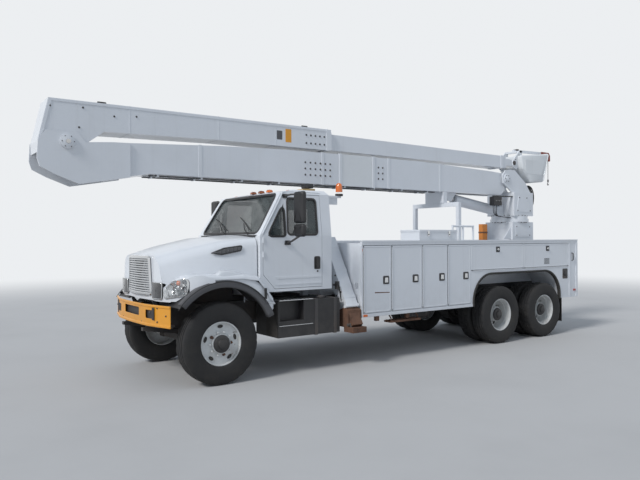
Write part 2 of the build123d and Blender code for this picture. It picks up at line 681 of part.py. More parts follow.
barrel_end = cylinder_length - 190
with BuildPart() as lift_barrel:
    rod(on_cylinder(0), on_cylinder(130), eye_half_width)
    rod(on_cylinder(110), on_cylinder(barrel_end), barrel_radius)
    rod(on_cylinder(150), on_cylinder(barrel_end + 5), rod_radius + running_gap, mode=Mode.SUBTRACT)
    cross_bar(eye_radius, (-eye_half_width, eye_half_width), *barrel_pin)
    cross_bar(30 + running_gap, (-100, 100), *barrel_pin, mode=Mode.SUBTRACT)
save(lift_barrel.part, "lift_barrel")

with BuildPart() as lift_rod:
    rod(on_cylinder(170), on_cylinder(cylinder_length - 30), rod_radius)
    cross_bar(eye_radius, (-eye_half_width, eye_half_width), *rod_eye)
    cross_bar(25, (-eye_half_width - 14, eye_half_width + 14), *rod_eye)
save(lift_rod.part, "lift_rod")

# Lower boom: a box beam, cheeks round the elbow, and lugs for the lift rod
with BuildPart() as lower_boom:
    top = [(-1150, 3200), (450, 3290), (1630, 3330), (4570, 3350), (6570, 3290), (7150, 3255)]
    bottom = [(7150, 3080), (7060, 2960), (6880, lower_boom_foot), (-640, lower_boom_foot), (-1150, 2715)]
    side_outline(top + bottom, (-lower_boom_x, lower_boom_x))
    inner_top = [(y, z - boom_wall) for y, z in top]
    inner_bottom = [(y, z + boom_wall) for y, z in bottom]
    side_outline(inner_top + inner_bottom, (boom_wall - lower_boom_x, lower_boom_x - boom_wall), mode=Mode.SUBTRACT)
    cheek = [(-900, 2750), (-1560, 2630), (-1850, 2740), (-2030, 2830), (-2062, 2930), (-2050, 3150), (-1960, 3290),
             (-1580, 3290), (-1475, 3172), (-1150, 3200), (-900, 3210)]
    for side in (1, -1):
        cheek_x = (side * (lower_boom_x + 5), side * (lower_boom_x + 5 + cheek_thickness))
        side_outline(cheek, cheek_x)
        block((side * lower_boom_x, side * (lower_boom_x + 5)), (-1150, -950), (2800, 3190))
        cross_bar(elbow_pin_radius + running_gap, (side * 200, side * 300), *elbow_pin, mode=Mode.SUBTRACT)
        cross_bar(lower_pin_radius + running_gap, (side * 190, side * 240), *lower_pin, mode=Mode.SUBTRACT)
        lug = [(5380, lower_boom_foot), (5450, rod_eye[1] - 60), (5550, rod_eye[1] - 60), (5680, lower_boom_foot)]
        side_outline(lug, (side * (eye_half_width + 15), side * (eye_half_width + 40)))
    # Slot in the underside that the lift cylinder rises into
    block((-eye_half_width - 13, eye_half_width + 13), (5390, 5700), (lower_boom_foot - 15, lower_boom_foot + 35), mode=Mode.SUBTRACT)
    block((-barrel_radius - 12, barrel_radius + 12), (5700, 7160), (lower_boom_foot - 15, 3110), mode=Mode.SUBTRACT)
save(lower_boom.part, "lower_boom")

# Elbow link: the shaft and end plates that the levelling rods turn
with BuildPart() as elbow_link:
    cheek_face = lower_boom_x + 5 + cheek_thickness
    cross_bar(elbow_pin_radius, (-cheek_face - 25, cheek_face + 25), *elbow_pin)
    for side in (1, -1):
        cross_bar(95, (side * (cheek_face + 1), side * (cheek_face + 25)), *elbow_pin)
save(elbow_link.part, "elbow_link")

# Upper boom: steel root, insulating beam and the forked tip
with BuildPart() as upper_boom:
    root = [(-2045, 3010), (-2048, 3150), (-1920, 3700), (400, 3720), (2490, 3730), (2490, 3385), (450, 3380),
            (-1230, 3335), (-1440, 3175), (-1480, 3010)]
    side_outline(root, (-upper_boom_x, upper_boom_x))
    beam = [(2400, 3400), (2400, 3665), (7130, 3645), (7130, 3400)]
    side_outline(beam, (-insulator_x, insulator_x))
    root_inside = [(-2033, 3000), (-2036, 3150), (-1912, 3688), (400, 3708), (2478, 3718), (2478, 3397), (450, 3392),
                   (-1234, 3347), (-1452, 3180), (-1492, 3000)]
    side_outline(root_inside, (boom_wall - upper_boom_x, upper_boom_x - boom_wall), mode=Mode.SUBTRACT)
    beam_inside = [(2450, 3414), (2450, 3650), (7090, 3631), (7090, 3414)]
    side_outline(beam_inside, (boom_wall - insulator_x, insulator_x - boom_wall), mode=Mode.SUBTRACT)
    for side in (1, -1):
        side_outline([(7100, 3450), (7100, 3600), (7420, 3580), (7440, 3520), (7420, 3450)],
                     (side * 110, side * insulator_x))
        cross_bar(elbow_pin_radius + running_gap, (side * 190, side * 230), *elbow_pin, mode=Mode.SUBTRACT)
        cross_bar(tip_pin_radius + running_gap, (side * 90, side * 200), *tip_pin, mode=Mode.SUBTRACT)
save(upper_boom.part, "upper_boom")

# Bucket, lying back for the road with its mouth to the rear
bucket_outline = [(7480, 3680), (7540, 3250), (7990, 3110), (8270, 3170), (8440, 3780)]
with BuildPart() as bucket:
    side_outline(bucket_outline, (-bucket_x, bucket_x))
    inside = [(7490, 3671), (7547, 3256), (7991, 3119), (8290, 3183), (8460, 3773)]
    side_outline(inside, (bucket_wall - bucket_x, bucket_x - bucket_wall), mode=Mode.SUBTRACT)
save(bucket.part, "bucket")

# Bucket mount with its jib
with BuildPart() as bucket_mount:
    cross_bar(tip_pin_radius, (-insulator_x - 30, insulator_x + 30), *tip_pin)
    plate = [(7330, 3480), (7330, 3560), (7560, 3800), (7640, 3800), (7640, 3697), (7480, 3680), (7533, 3300),
             (7500, 3300)]
    for side in (1, -1):
        side_outline(plate, (side * (insulator_x + joint_gap), side * (insulator_x + 30)))
    block((-insulator_x - 30, insulator_x + 30), (7560, 7640), (3760, 3800))
    rod((0, 7600, 3800), (0, 8700, 3835), 28)
    side_outline([(8640, 3870), (8860, 3850), (8900, 3700), (8820, 3690), (8760, 3780), (8640, 3790)], (-35, 35))
    rod((0, 8860, 3700), (0, 8860, 3230), 10)
    block((-22, 22), (8825, 8895), (3140, 3235))
save(bucket_mount.part, "bucket_mount")
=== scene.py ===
import json
import math

import bmesh
import bpy
from mathutils import Matrix, Vector


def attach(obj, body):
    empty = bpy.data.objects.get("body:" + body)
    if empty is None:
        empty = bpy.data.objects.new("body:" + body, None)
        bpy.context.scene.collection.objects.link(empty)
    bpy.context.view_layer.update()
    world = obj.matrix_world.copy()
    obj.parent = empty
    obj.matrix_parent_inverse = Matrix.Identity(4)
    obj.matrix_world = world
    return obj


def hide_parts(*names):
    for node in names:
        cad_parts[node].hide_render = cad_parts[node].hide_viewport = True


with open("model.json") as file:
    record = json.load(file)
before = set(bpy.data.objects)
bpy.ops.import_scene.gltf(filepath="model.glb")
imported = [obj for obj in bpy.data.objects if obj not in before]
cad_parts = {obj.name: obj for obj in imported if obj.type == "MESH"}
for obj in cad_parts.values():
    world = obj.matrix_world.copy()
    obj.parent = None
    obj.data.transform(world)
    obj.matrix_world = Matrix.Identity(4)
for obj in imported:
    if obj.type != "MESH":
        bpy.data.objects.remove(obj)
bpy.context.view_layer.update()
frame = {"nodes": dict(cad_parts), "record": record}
frontAxleY = -3.4  # places below give Y behind the front axle, in metres
print("frame loaded", len(frame["nodes"]), "nodes")


view = {"place": (8.4623, -3.6867, 1.9024), "yaw": 54.24, "pitch": -0.02, "roll": -0.26, "focalPixels": 618.65,
        "imageWidth": 640, "sensor": 36.0}
studio = {"background": (0.84, 0.86, 0.88), "floor": (0.52, 0.51, 0.50), "floorRadius": 70.0, "fadeFrom": 11.0,
          "fadeTo": 26.0, "skyColour": (0.72, 0.84, 1.0), "skyLight": 0.53, "sunStrength": 2.0, "sunAngle": 14.0,
          "sunWay": (-0.16, 0.78, -0.66)}


def makeCamera(look):
    data = bpy.data.cameras.new("camera")
    data.sensor_width = look["sensor"]
    data.lens = look["focalPixels"] / look["imageWidth"] * look["sensor"]
    data.clip_end = 500
    camera = bpy.data.objects.new("camera", data)
    bpy.context.collection.objects.link(camera)
    yaw, pitch, roll = (math.radians(look[angle]) for angle in ("yaw", "pitch", "roll"))
    ahead = Vector((-math.sin(yaw) * math.cos(pitch), math.cos(yaw) * math.cos(pitch), math.sin(pitch)))
    level = ahead.cross(Vector((0, 0, 1))).normalized()
    upright = level.cross(ahead)
    right = level * math.cos(roll) + upright * math.sin(roll)
    up = upright * math.cos(roll) - level * math.sin(roll)
    turn = Matrix((right, up, -ahead)).transposed().to_4x4()
    x, y, z = look["place"]
    camera.matrix_world = Matrix.Translation((x, frontAxleY + y, z)) @ turn
    bpy.context.scene.camera = camera


makeCamera(view)
bpy.context.scene.view_settings.view_transform = "Standard"


class Value:
    # one socket of a shader; arithmetic on it adds Math nodes
    def __init__(self, shader, socket):
        self.shader = shader
        self.socket = socket

    def math(self, operation, *values):
        return self.shader.node("ShaderNodeMath", {"operation": operation}, dict(enumerate(values)))

    def __add__(self, other):
        return self.math("ADD", self, other)

    def __radd__(self, other):
        return self.math("ADD", other, self)

    def __rsub__(self, other):
        return self.math("SUBTRACT", other, self)

    def __mul__(self, other):
        return self.math("MULTIPLY", self, other)

    def __rmul__(self, other):
        return self.math("MULTIPLY", other, self)

    def __pow__(self, other):
        return self.math("POWER", self, other)

    def clamped(self):
        return self.math("MAXIMUM", self.math("MINIMUM", self, 1.0), 0.0)

    def larger(self, other):
        return self.math("MAXIMUM", self, other)

    def over(self, low, high):
        # rises smoothly from 0 at low to 1 at high
        return self.shader.node("ShaderNodeMapRange", {"interpolation_type": "SMOOTHSTEP"},
                                {"Value": self, "From Min": low, "From Max": high})


class Shader:
    def __init__(self, name):
        self.material = bpy.data.materials.new(name)
        self.material.use_nodes = True
        self.tree = self.material.node_tree
        self.surface = self.tree.nodes["Principled BSDF"]

    def node(self, kind, settings=None, values=None, output=0):
        made = self.tree.nodes.new(kind)
        for name, setting in (settings or {}).items():
            setattr(made, name, setting)
        for name, value in (values or {}).items():
            if isinstance(value, Value):
                self.tree.links.new(value.socket, made.inputs[name])
            else:
                made.inputs[name].default_value = value
        return Value(self, made.outputs[output])

    def place(self):
        return self.node("ShaderNodeTexCoord", output="Object")

    def axes(self, place):
        return [self.node("ShaderNodeSeparateXYZ", values={0: place}, output=axis) for axis in range(3)]

    def stretched(self, place, factors):
        return self.node("ShaderNodeVectorMath", {"operation": "MULTIPLY"}, {0: place, 1: factors})

    def noise(self, place, scale, detail=4.0, roughness=0.55):
        return self.node("ShaderNodeTexNoise", values={"Vector": place, "Scale": scale, "Detail": detail,
                                                       "Roughness": roughness})

    def colour(self, first, second, mask):
        # first where the mask is 0 and second where it is 1
        ends = [(*c, 1) if isinstance(c, tuple) else c for c in (first, second)]
        return self.node("ShaderNodeMix", {"data_type": "RGBA"}, {0: mask, 6: ends[0], 7: ends[1]}, output=2)

    def bump(self, height, strength, distance):
        return self.node("ShaderNodeBump", values={"Height": height, "Strength": strength, "Distance": distance})

    def set(self, **sockets):
        for name, value in sockets.items():
            socket = self.surface.inputs[socketNames.get(name, name)]
            if isinstance(value, Value):
                self.tree.links.new(value.socket, socket)
            else:
                socket.default_value = (*value, 1) if isinstance(value, tuple) and len(value) == 3 else value
        return self.material


socketNames = {"colour": "Base Color", "roughness": "Roughness", "metallic": "Metallic", "coat": "Coat Weight",
               "coatRoughness": "Coat Roughness", "normal": "Normal", "alpha": "Alpha", "ior": "IOR"}


def makeStudio(look):
    # the floor fades into the background colour away from the truck
    shader = Shader("floor")
    place = shader.place()
    x, y = shader.axes(place)[:2]
    far = ((x ** 2.0 + y ** 2.0) ** 0.5).over(look["fadeFrom"], look["fadeTo"])
    seen = shader.node("ShaderNodeLightPath", output="Is Camera Ray")
    gloss = shader.node("ShaderNodeLightPath", output="Is Glossy Ray")
    through = shader.node("ShaderNodeLightPath", output="Is Transmission Ray")
    grit = shader.noise(place, 0.5, 8.0, 0.6)
    floor = look["floor"]
    shader.set(colour=shader.colour(floor, tuple(c * 0.93 for c in floor), grit.over(0.40, 0.80)), roughness=0.9)
    glow = shader.node("ShaderNodeEmission", values={"Color": (*look["background"], 1), "Strength": 1.0})
    blend = shader.node("ShaderNodeMixShader", values={0: far * seen.larger(gloss).larger(through)})
    blendNode = blend.socket.node
    shader.tree.links.new(shader.surface.outputs[0], blendNode.inputs[1])
    shader.tree.links.new(glow.socket, blendNode.inputs[2])
    shader.tree.links.new(blend.socket, shader.tree.nodes["Material Output"].inputs[0])

    mesh = bpy.data.meshes.new("floor")
    made = bmesh.new()
    bmesh.ops.create_circle(made, cap_ends=True, segments=96, radius=look["floorRadius"])
    made.to_mesh(mesh)
    mesh.materials.append(shader.material)
    floorObject = bpy.data.objects.new("floor", mesh)
    bpy.context.collection.objects.link(floorObject)

    world = bpy.data.worlds.new("studio")
    bpy.context.scene.world = world
    world.use_nodes = True
    tree = world.node_tree
    light = tree.nodes["Background"]
    light.inputs["Color"].default_value = (*look["skyColour"], 1)
    light.inputs["Strength"].default_value = look["skyLight"]
    shown = tree.nodes.new("ShaderNodeBackground")
    shown.inputs["Color"].default_value = (*look["background"], 1)
    path = tree.nodes.new("ShaderNodeLightPath")
    either = path.outputs["Is Camera Ray"]
    for ray in ("Is Glossy Ray", "Is Transmission Ray"):
        larger = tree.nodes.new("ShaderNodeMath")
        larger.operation = "MAXIMUM"
        tree.links.new(either, larger.inputs[0])
        tree.links.new(path.outputs[ray], larger.inputs[1])
        either = larger.outputs[0]
    mixed = tree.nodes.new("ShaderNodeMixShader")
    tree.links.new(either, mixed.inputs[0])
    tree.links.new(light.outputs[0], mixed.inputs[1])
    tree.links.new(shown.outputs[0], mixed.inputs[2])
    tree.links.new(mixed.outputs[0], tree.nodes["World Output"].inputs[0])

    sun = bpy.data.lights.new("key", "SUN")
    sun.energy = look["sunStrength"]
    sun.angle = math.radians(look["sunAngle"])
    key = bpy.data.objects.new("key", sun)
    key.rotation_euler = Vector(look["sunWay"]).to_track_quat("-Z", "Y").to_euler()
    bpy.context.collection.objects.link(key)


makeStudio(studio)
print("studio made")


streakScales = (9.0, 9.0, 0.45)  # noise drawn out upwards
chipScale, grainScale, rustColour = 34.0, 260.0, (0.20, 0.085, 0.035)


def paint(name, colour, dirtColour, roughness, shares, look):
    # sprayed paint with rain streaks, road dust towards the ground and dirt in the corners
    shader = Shader(name)
    place = shader.place()
    z = shader.axes(place)[2]
    cloud = shader.noise(place, look.get("cloudScale", 1.1), 7.0, 0.62).over(0.42, 0.78)
    streak = shader.noise(shader.stretched(place, streakScales), 1.0, 6.0, 0.7).over(0.52, 0.80)
    dust = (1 - z.over(*look.get("dustHeights", (0.35, 1.5)))) * shader.noise(place, 5.0, 6.0, 0.7).over(0.25, 0.8)
    dirt = (cloud * shares[0] + streak * shares[1] + dust * shares[2]).clamped()
    base = shader.colour(colour, dirtColour, dirt)
    chip = shader.noise(place, chipScale, 3.0, 0.6).over(*look.get("chipRange", (0.74, 0.78)))
    patch = shader.noise(place, 1.7, 2.0, 0.5).over(0.5, 0.68)
    rust = (chip * patch * look.get("chips", 0.6)).clamped()
    grain = shader.noise(place, grainScale, 2.0, 0.5)
    return shader.set(colour=shader.colour(base, look.get("chipColour", rustColour), rust),
                      roughness=(roughness + dirt * 0.3 + rust * 0.3).clamped(), metallic=look.get("metallic", 0.0),
                      coat=(look["coat"] * (1 - dirt)).clamped() if look.get("coat") else 0.0,
                      normal=shader.bump(grain * 0.5 + cloud * look.get("waves", 0.0), look.get("bump", 0.12), 0.002))


def glass(name, look):
    # thin tinted glass with a film of dust
    shader = Shader(name)
    film = shader.noise(shader.place(), 3.0, 5.0, 0.6).over(0.35, 0.85)
    return shader.set(colour=shader.colour(look["tint"], look["dust"], film * 0.6), roughness=look["roughness"],
                      alpha=(look["alpha"] + film * 0.12).clamped(), ior=1.5, coat=look.get("coat", 0.4),
                      coatRoughness=0.03)


# paints: colour, colour of the dirt, roughness, shares of clouds, streaks and dust, and what else differs
paints = {
    "whitePaint": ((0.74, 0.76, 0.79), (0.36, 0.34, 0.31), 0.34, (0.10, 0.12, 0.28), {"coat": 0.35, "chips": 0.45}),
    "chassisBlack": ((0.022, 0.022, 0.024), (0.16, 0.135, 0.11), 0.55, (0.35, 0.1, 0.28),
                     {"dustHeights": (0.2, 1.2), "chips": 0.35}),
    "bumperYellow": ((0.80, 0.34, 0.018), (0.28, 0.15, 0.05), 0.38, (0.22, 0.2, 0.3),
                     {"coat": 0.25, "chips": 0.8, "chipRange": (0.66, 0.72)}),
    "castIron": ((0.055, 0.054, 0.056), (0.16, 0.12, 0.09), 0.6, (0.5, 0.2, 0.3), {"bump": 0.4}),
    "wheelWhite": ((0.70, 0.71, 0.70), (0.24, 0.19, 0.15), 0.42, (0.30, 0.1, 0.35),
                   {"cloudScale": 6.0, "dustHeights": (0.1, 0.9), "coat": 0.15, "chips": 0.9,
                    "chipRange": (0.64, 0.70)}),
    "tyreRubber": ((0.016, 0.016, 0.017), (0.06, 0.055, 0.048), 0.78, (0.35, 0.1, 0.25),
                   {"cloudScale": 5.0, "dustHeights": (0.05, 0.8), "chips": 0.0, "bump": 0.3}),
    "flapRubber": ((0.016, 0.016, 0.016), (0.12, 0.105, 0.09), 0.7, (0.35, 0.3, 0.4),
                   {"chips": 0.0, "waves": 2.0, "bump": 0.4}),
    "trimGrey": ((0.10, 0.10, 0.105), (0.16, 0.15, 0.14), 0.65, (0.3, 0.0, 0.0), {"chips": 0.0, "bump": 0.35}),
    "blackPlastic": ((0.018, 0.018, 0.02), (0.12, 0.11, 0.10), 0.45, (0.25, 0.1, 0.3), {"chips": 0.0, "bump": 0.25}),
    "chrome": ((0.66, 0.67, 0.68), (0.30, 0.27, 0.23), 0.14, (0.15, 0.2, 0.1),
               {"chips": 0.2, "metallic": 1.0, "bump": 0.05}),
    "amberLens": ((0.80, 0.16, 0.008), (0.35, 0.12, 0.04), 0.16, (0.3, 0.1, 0.1),
                  {"coat": 1.0, "chips": 0.0, "bump": 0.05}),
    "redLens": ((0.42, 0.012, 0.010), (0.20, 0.05, 0.04), 0.16, (0.3, 0.1, 0.1),
                {"coat": 1.0, "chips": 0.0, "bump": 0.05}),
    "mirrorGlass": ((0.80, 0.82, 0.84), (0.45, 0.45, 0.44), 0.03, (0.2, 0.2, 0.0),
                    {"chips": 0.0, "metallic": 1.0, "bump": 0.0}),
    "rustyWood": ((0.52, 0.36, 0.17), (0.20, 0.13, 0.07), 0.8, (0.5, 0.3, 0.0), {"chips": 0.2, "bump": 0.5}),
    "orangePad": ((0.62, 0.22, 0.045), (0.24, 0.11, 0.05), 0.7, (0.5, 0.3, 0.0), {"chips": 0.2, "bump": 0.4}),
    "seatFabric": ((0.085, 0.088, 0.095), (0.16, 0.15, 0.14), 0.9, (0.3, 0.0, 0.0),
                   {"cloudScale": 8.0, "chips": 0.0, "bump": 0.6}),
    "jibRed": ((0.27, 0.055, 0.035), (0.12, 0.06, 0.04), 0.55, (0.5, 0.4, 0.1), {"chips": 0.4, "bump": 0.3}),
    "rope": ((0.045, 0.050, 0.060), (0.12, 0.11, 0.10), 0.9, (0.4, 0.0, 0.2), {"chips": 0.0, "bump": 0.8}),
    "hose": ((0.013, 0.013, 0.014), (0.10, 0.09, 0.08), 0.6, (0.4, 0.0, 0.3), {"chips": 0.0, "bump": 0.3}),
    "fibreglass": ((0.76, 0.775, 0.78), (0.42, 0.41, 0.38), 0.40, (0.14, 0.14, 0.1), {"coat": 0.3, "chips": 0.12}),
    "pistonSteel": ((0.55, 0.55, 0.55), (0.25, 0.22, 0.18), 0.2, (0.15, 0.2, 0.0),
                    {"chips": 0.2, "metallic": 1.0, "bump": 0.05}),
    "rustySteel": ((0.15, 0.075, 0.045), (0.045, 0.028, 0.022), 0.75, (0.6, 0.6, 0.2),
                   {"cloudScale": 7.0, "chips": 0.9, "chipRange": (0.55, 0.65), "bump": 0.5,
                    "chipColour": (0.27, 0.11, 0.045)}),
}
glasses = {
    "clearLens": {"tint": (0.80, 0.83, 0.85), "dust": (0.5, 0.5, 0.48), "alpha": 0.22, "roughness": 0.04,
                  "coat": 1.0},
    "darkLens": {"tint": (0.02, 0.02, 0.025), "dust": (0.2, 0.19, 0.18), "alpha": 0.80, "roughness": 0.06,
                 "coat": 1.0},
    "windowGlass": {"tint": (0.05, 0.07, 0.07), "dust": (0.35, 0.36, 0.34), "alpha": 0.42, "roughness": 0.05},
}
finishes = {name: paint(name, *look) for name, look in paints.items()}
finishes.update({name: glass(name, look) for name, look in glasses.items()})
slotFinishes = {"white_paint": "whitePaint", "chassis_black": "chassisBlack", "bumper_yellow": "bumperYellow",
                "cast_iron": "castIron", "wheel_white": "wheelWhite", "tyre": "tyreRubber", "rubber": "flapRubber",
                "clear_glass": "windowGlass", "trim_grey": "trimGrey", "black_plastic": "blackPlastic",
                "chrome_trim": "chrome", "lamp_amber": "amberLens", "white_fibreglass": "fibreglass",
                "piston_steel": "pistonSteel", "rusty_steel": "rustySteel"}
for row in frame["record"]["subparts"]:
    for slot in frame["nodes"][row["node"]].material_slots:
        slot.material = finishes[slotFinishes[row["material_slot"]]]
print("finishes made")


class Form:
    # gathers the faces of one piece; places are across, behind the front axle and up
    def __init__(self, look):
        self.mesh = bmesh.new()
        self.looks = [look]
        self.look = 0

    def use(self, look):
        if look not in self.looks:
            self.looks.append(look)
        self.look = self.looks.index(look)
        return self

    def skin(self, rings, closed=True, capped=True):
        # joins rings of places that all have the same number of points
        rows = [[self.mesh.verts.new((x, y + frontAxleY, z)) for x, y, z in ring] for ring in rings]
        count = len(rings[0])
        faces = []
        for near, far in zip(rows, rows[1:]):
            for first in range(count if closed else count - 1):
                second = (first + 1) % count
                faces.append(self.mesh.faces.new((near[first], near[second], far[second], far[first])))
        if capped:
            faces += [self.mesh.faces.new(rows[0][::-1]), self.mesh.faces.new(rows[-1])]
        for face in faces:
            face.material_index = self.look
        return self

    def block(self, x, y, z):
        return self.skin([[(a, y[0], z[0]), (a, y[1], z[0]), (a, y[1], z[1]), (a, y[0], z[1])] for a in x])

    def side(self, outline, x):
        # a side view outline (y, z) across from x[0] to x[1]
        return self.skin([[(a, y, z) for y, z in outline] for a in x])

    def front(self, outline, y):
        # a front view outline (x, z) from y[0] back to y[1]
        return self.skin([[(x, a, z) for x, z in outline] for a in y])

    def plan(self, outline, z):
        return self.skin([[(x, y, a) for x, y in outline] for a in z])

    def turned(self, profile, start, way, steps=24, capped=True):
        # a profile (along, radius) turned about a line
        turn = Vector(way).to_track_quat("Z", "Y").to_matrix()
        angles = [2 * math.pi * step / steps for step in range(steps)]
        return self.skin([[tuple(Vector(start) + turn @ Vector((radius * math.cos(a), radius * math.sin(a), along)))
                           for a in angles] for along, radius in profile], capped=capped)

    def bar(self, places, radius, steps=10, closed=False):
        # a round bar through a row of places
        points = [Vector(place) for place in places]
        count = len(points)
        rings = []
        level = None
        for index, point in enumerate(points):
            before = points[index - 1] if index or closed else point
            after = points[(index + 1) % count] if index < count - 1 or closed else point
            ahead = (after - before).normalized()
            if level is None:
                level = ahead.orthogonal().normalized()
            level = (level - ahead * level.dot(ahead)).normalized()
            upright = ahead.cross(level)
            rings.append([tuple(point + (level * math.cos(a) + upright * math.sin(a)) * radius)
                          for a in (2 * math.pi * step / steps for step in range(steps))])
        if closed:
            rings.append(rings[0])
        return self.skin(rings, capped=not closed)

    def bolt(self, place, way, radius, height):
        # a hexagon head on its washer
        self.turned([(0, radius * 1.35), (height * 0.2, radius * 1.35)], place, way, 14)
        return self.turned([(height * 0.2, radius), (height * 0.85, radius), (height, radius * 0.8)], place, way, 6)

    def patch(self, cast, outline, way, lift, steps=5):
        # a thin plate that follows a surface inside an outline
        middle = sum((Vector(place) for place in outline), Vector()) / len(outline)
        rings = []
        for step in range(steps):
            share = 1 - step * 0.94 / (steps - 1)
            rings.append([cast(tuple(middle + (Vector(place) - middle) * share), way, lift) for place in outline])
        return self.skin(rings[::-1], capped=False)

    def piece(self, name, body, bevel=0.0, angle=30, replaced=(), slot=None, segments=2):
        bmesh.ops.remove_doubles(self.mesh, verts=self.mesh.verts[:], dist=0.00002)
        bmesh.ops.recalc_face_normals(self.mesh, faces=self.mesh.faces[:])
        mesh = bpy.data.meshes.new(name)
        self.mesh.to_mesh(mesh)
        self.mesh.free()
        for look in self.looks:
            mesh.materials.append(finishes[look])
        mesh.shade_smooth()
        made = bpy.data.objects.new(name, mesh)
        bpy.context.collection.objects.link(made)
        if bevel:
            soften(made, bevel, angle, segments)
        else:
            mesh.set_sharp_from_angle(angle=math.radians(angle))
        if body:
            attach(made, body)
        if replaced:
            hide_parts(*replaced)
        return made


def soften(target, width, angle=30, segments=2):
    # rounds a piece's edges
    bevel = target.modifiers.new("rounded", "BEVEL")
    bevel.width = width
    bevel.segments = segments
    bevel.limit_method = "ANGLE"
    bevel.angle_limit = math.radians(angle)
    bevel.harden_normals = True


slotOf = {look: slot for slot, look in slotFinishes.items()}
slotOf["seatFabric"] = "trim_grey"


def mirrored(outline):
    # a half outline from the middle outwards, with its mirror image
    return list(outline) + [(-x, z) for x, z in outline[::-1]]


def rounded(corners, steps=4):
    # an outline with its corners rounded; each corner is (across, up, rounding)
    made = []
    count = len(corners)
    for index, (u, v, radius) in enumerate(corners):
        corner = Vector((u, v))
        if not radius:
            made.append((u, v))
            continue
        arms = [Vector(corners[(index + way) % count][:2]) - corner for way in (-1, 1)]
        reach = min(radius / math.tan(arms[0].angle(arms[1]) / 2), arms[0].length * 0.49, arms[1].length * 0.49)
        first, last = (corner + arm.normalized() * reach for arm in arms)
        for step in range(steps + 1):
            t = step / steps
            point = first * (1 - t) ** 2 + corner * 2 * t * (1 - t) + last * t ** 2
            made.append((point.x, point.y))
    return made


def plate(u, v, low, high=None, steps=4):
    # a rectangle with roundings at its lower and at its upper corners
    high = low if high is None else high
    return rounded(((u[0], v[0], low), (u[1], v[0], low), (u[1], v[1], high), (u[0], v[1], high)), steps)


def circle(middle, radius, count, axis="x", offset=0):
    # places round a circle whose axis points across (x) or up (z)
    x, y, z = middle
    made = []
    for step in range(count):
        turn = 2 * math.pi * (step + offset) / count
        a, b = radius * math.cos(turn), radius * math.sin(turn)
        made.append((x, y + a, z + b) if axis == "x" else (x + a, y + b, z))
    return made


def fitted(form, side, plates):
    # plates on a side wall: (look, behind the axle, up, roundings below and above, across)
    for look, y, z, low, high, (inner, outer) in plates:
        form.use(look).side(plate(y, z, low, high), (side * inner, side * outer))


def bolted(form, side, across, places, size):
    # bolts on a side wall, at places (behind the axle, up)
    form.use("castIron")
    for y, z in places:
        form.bolt((side * across, y, z), (side, 0, 0), size, size)


def evenly(outline, gap):
    # more points along an outline's long sides
    made = []
    for first, last in zip(outline, outline[1:] + outline[:1]):
        a, b = Vector(first), Vector(last)
        parts = max(1, round((b - a).length / gap))
        made += [tuple(a.lerp(b, part / parts)) for part in range(parts)]
    return made


def grown(outline, amount):
    # a flat outline drawn out by an amount
    points = [Vector(point) for point in outline]
    area = sum(a.x * b.y - b.x * a.y for a, b in zip(points, points[1:] + points[:1]))
    made = []
    for index, point in enumerate(points):
        way = (points[(index + 1) % len(points)] - points[index - 1]).normalized()
        out = Vector((way.y, -way.x)) * (amount if area > 0 else -amount)
        made.append(tuple(point + out))
    return made


def caster(target):
    # where a line from a place meets a piece's surface, lifted off it
    def cast(place, way, lift):
        start = Vector((place[0], place[1] + frontAxleY, place[2]))
        hit, found, normal, _ = target.ray_cast(start, Vector(way))
        if not hit:
            found, normal = start, -Vector(way)
        if normal.dot(Vector(way)) > 0:
            normal = -normal
        found = found + normal * lift
        return (found.x, found.y - frontAxleY, found.z)
    return cast


def joined(target, other, operation):
    # unites two temporary solids, cuts one with the other or keeps what they share
    cut = target.modifiers.new("cut", "BOOLEAN")
    cut.operation = operation
    cut.solver = "EXACT"
    cut.object = other
    graph = bpy.context.evaluated_depsgraph_get()
    mesh = bpy.data.meshes.new_from_object(target.evaluated_get(graph))
    target.modifiers.clear()
    target.data = mesh
    bpy.data.objects.remove(other)
    return target


def rideOn(target, body, replaced=()):
    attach(target, body)
    if replaced:
        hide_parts(*replaced)
    return target


sides = (("left", 1), ("right", -1))


# the winch rope with its hook, and the hoses behind the turret
cords = {"rope": ((8.8640, 3.742), (8.8650, 3.55), (8.8620, 3.40), (8.8640, 3.262)), "ropeDiameter": 0.011,
         "hoses": ((0.175, 0.026), (0.212, 0.030), (0.250, 0.026)),
         "hosePath": ((7.620, 2.890), (7.650, 2.990), (7.760, 3.055), (7.900, 3.010), (7.965, 2.860), (7.955, 2.700),
                      (7.900, 2.590), (7.805, 2.540)),
         "valveHoses": (6.555, 6.610, 6.665), "valveDiameter": 0.014}


def makeCord(name, places, diameter, look):
    data = bpy.data.curves.new(name, "CURVE")
    data.dimensions = "3D"
    data.bevel_depth = diameter / 2
    data.bevel_resolution = 4
    spline = data.splines.new("NURBS")
    spline.points.add(len(places) - 1)
    for point, (x, y, z) in zip(spline.points, places):
        point.co = (x, y + frontAxleY, z, 1)
    spline.order_u = 3
    spline.use_endpoint_u = True
    spline.resolution_u = 8
    data.materials.append(finishes[look])
    cord = bpy.data.objects.new(name, data)
    bpy.context.collection.objects.link(cord)
    return cord


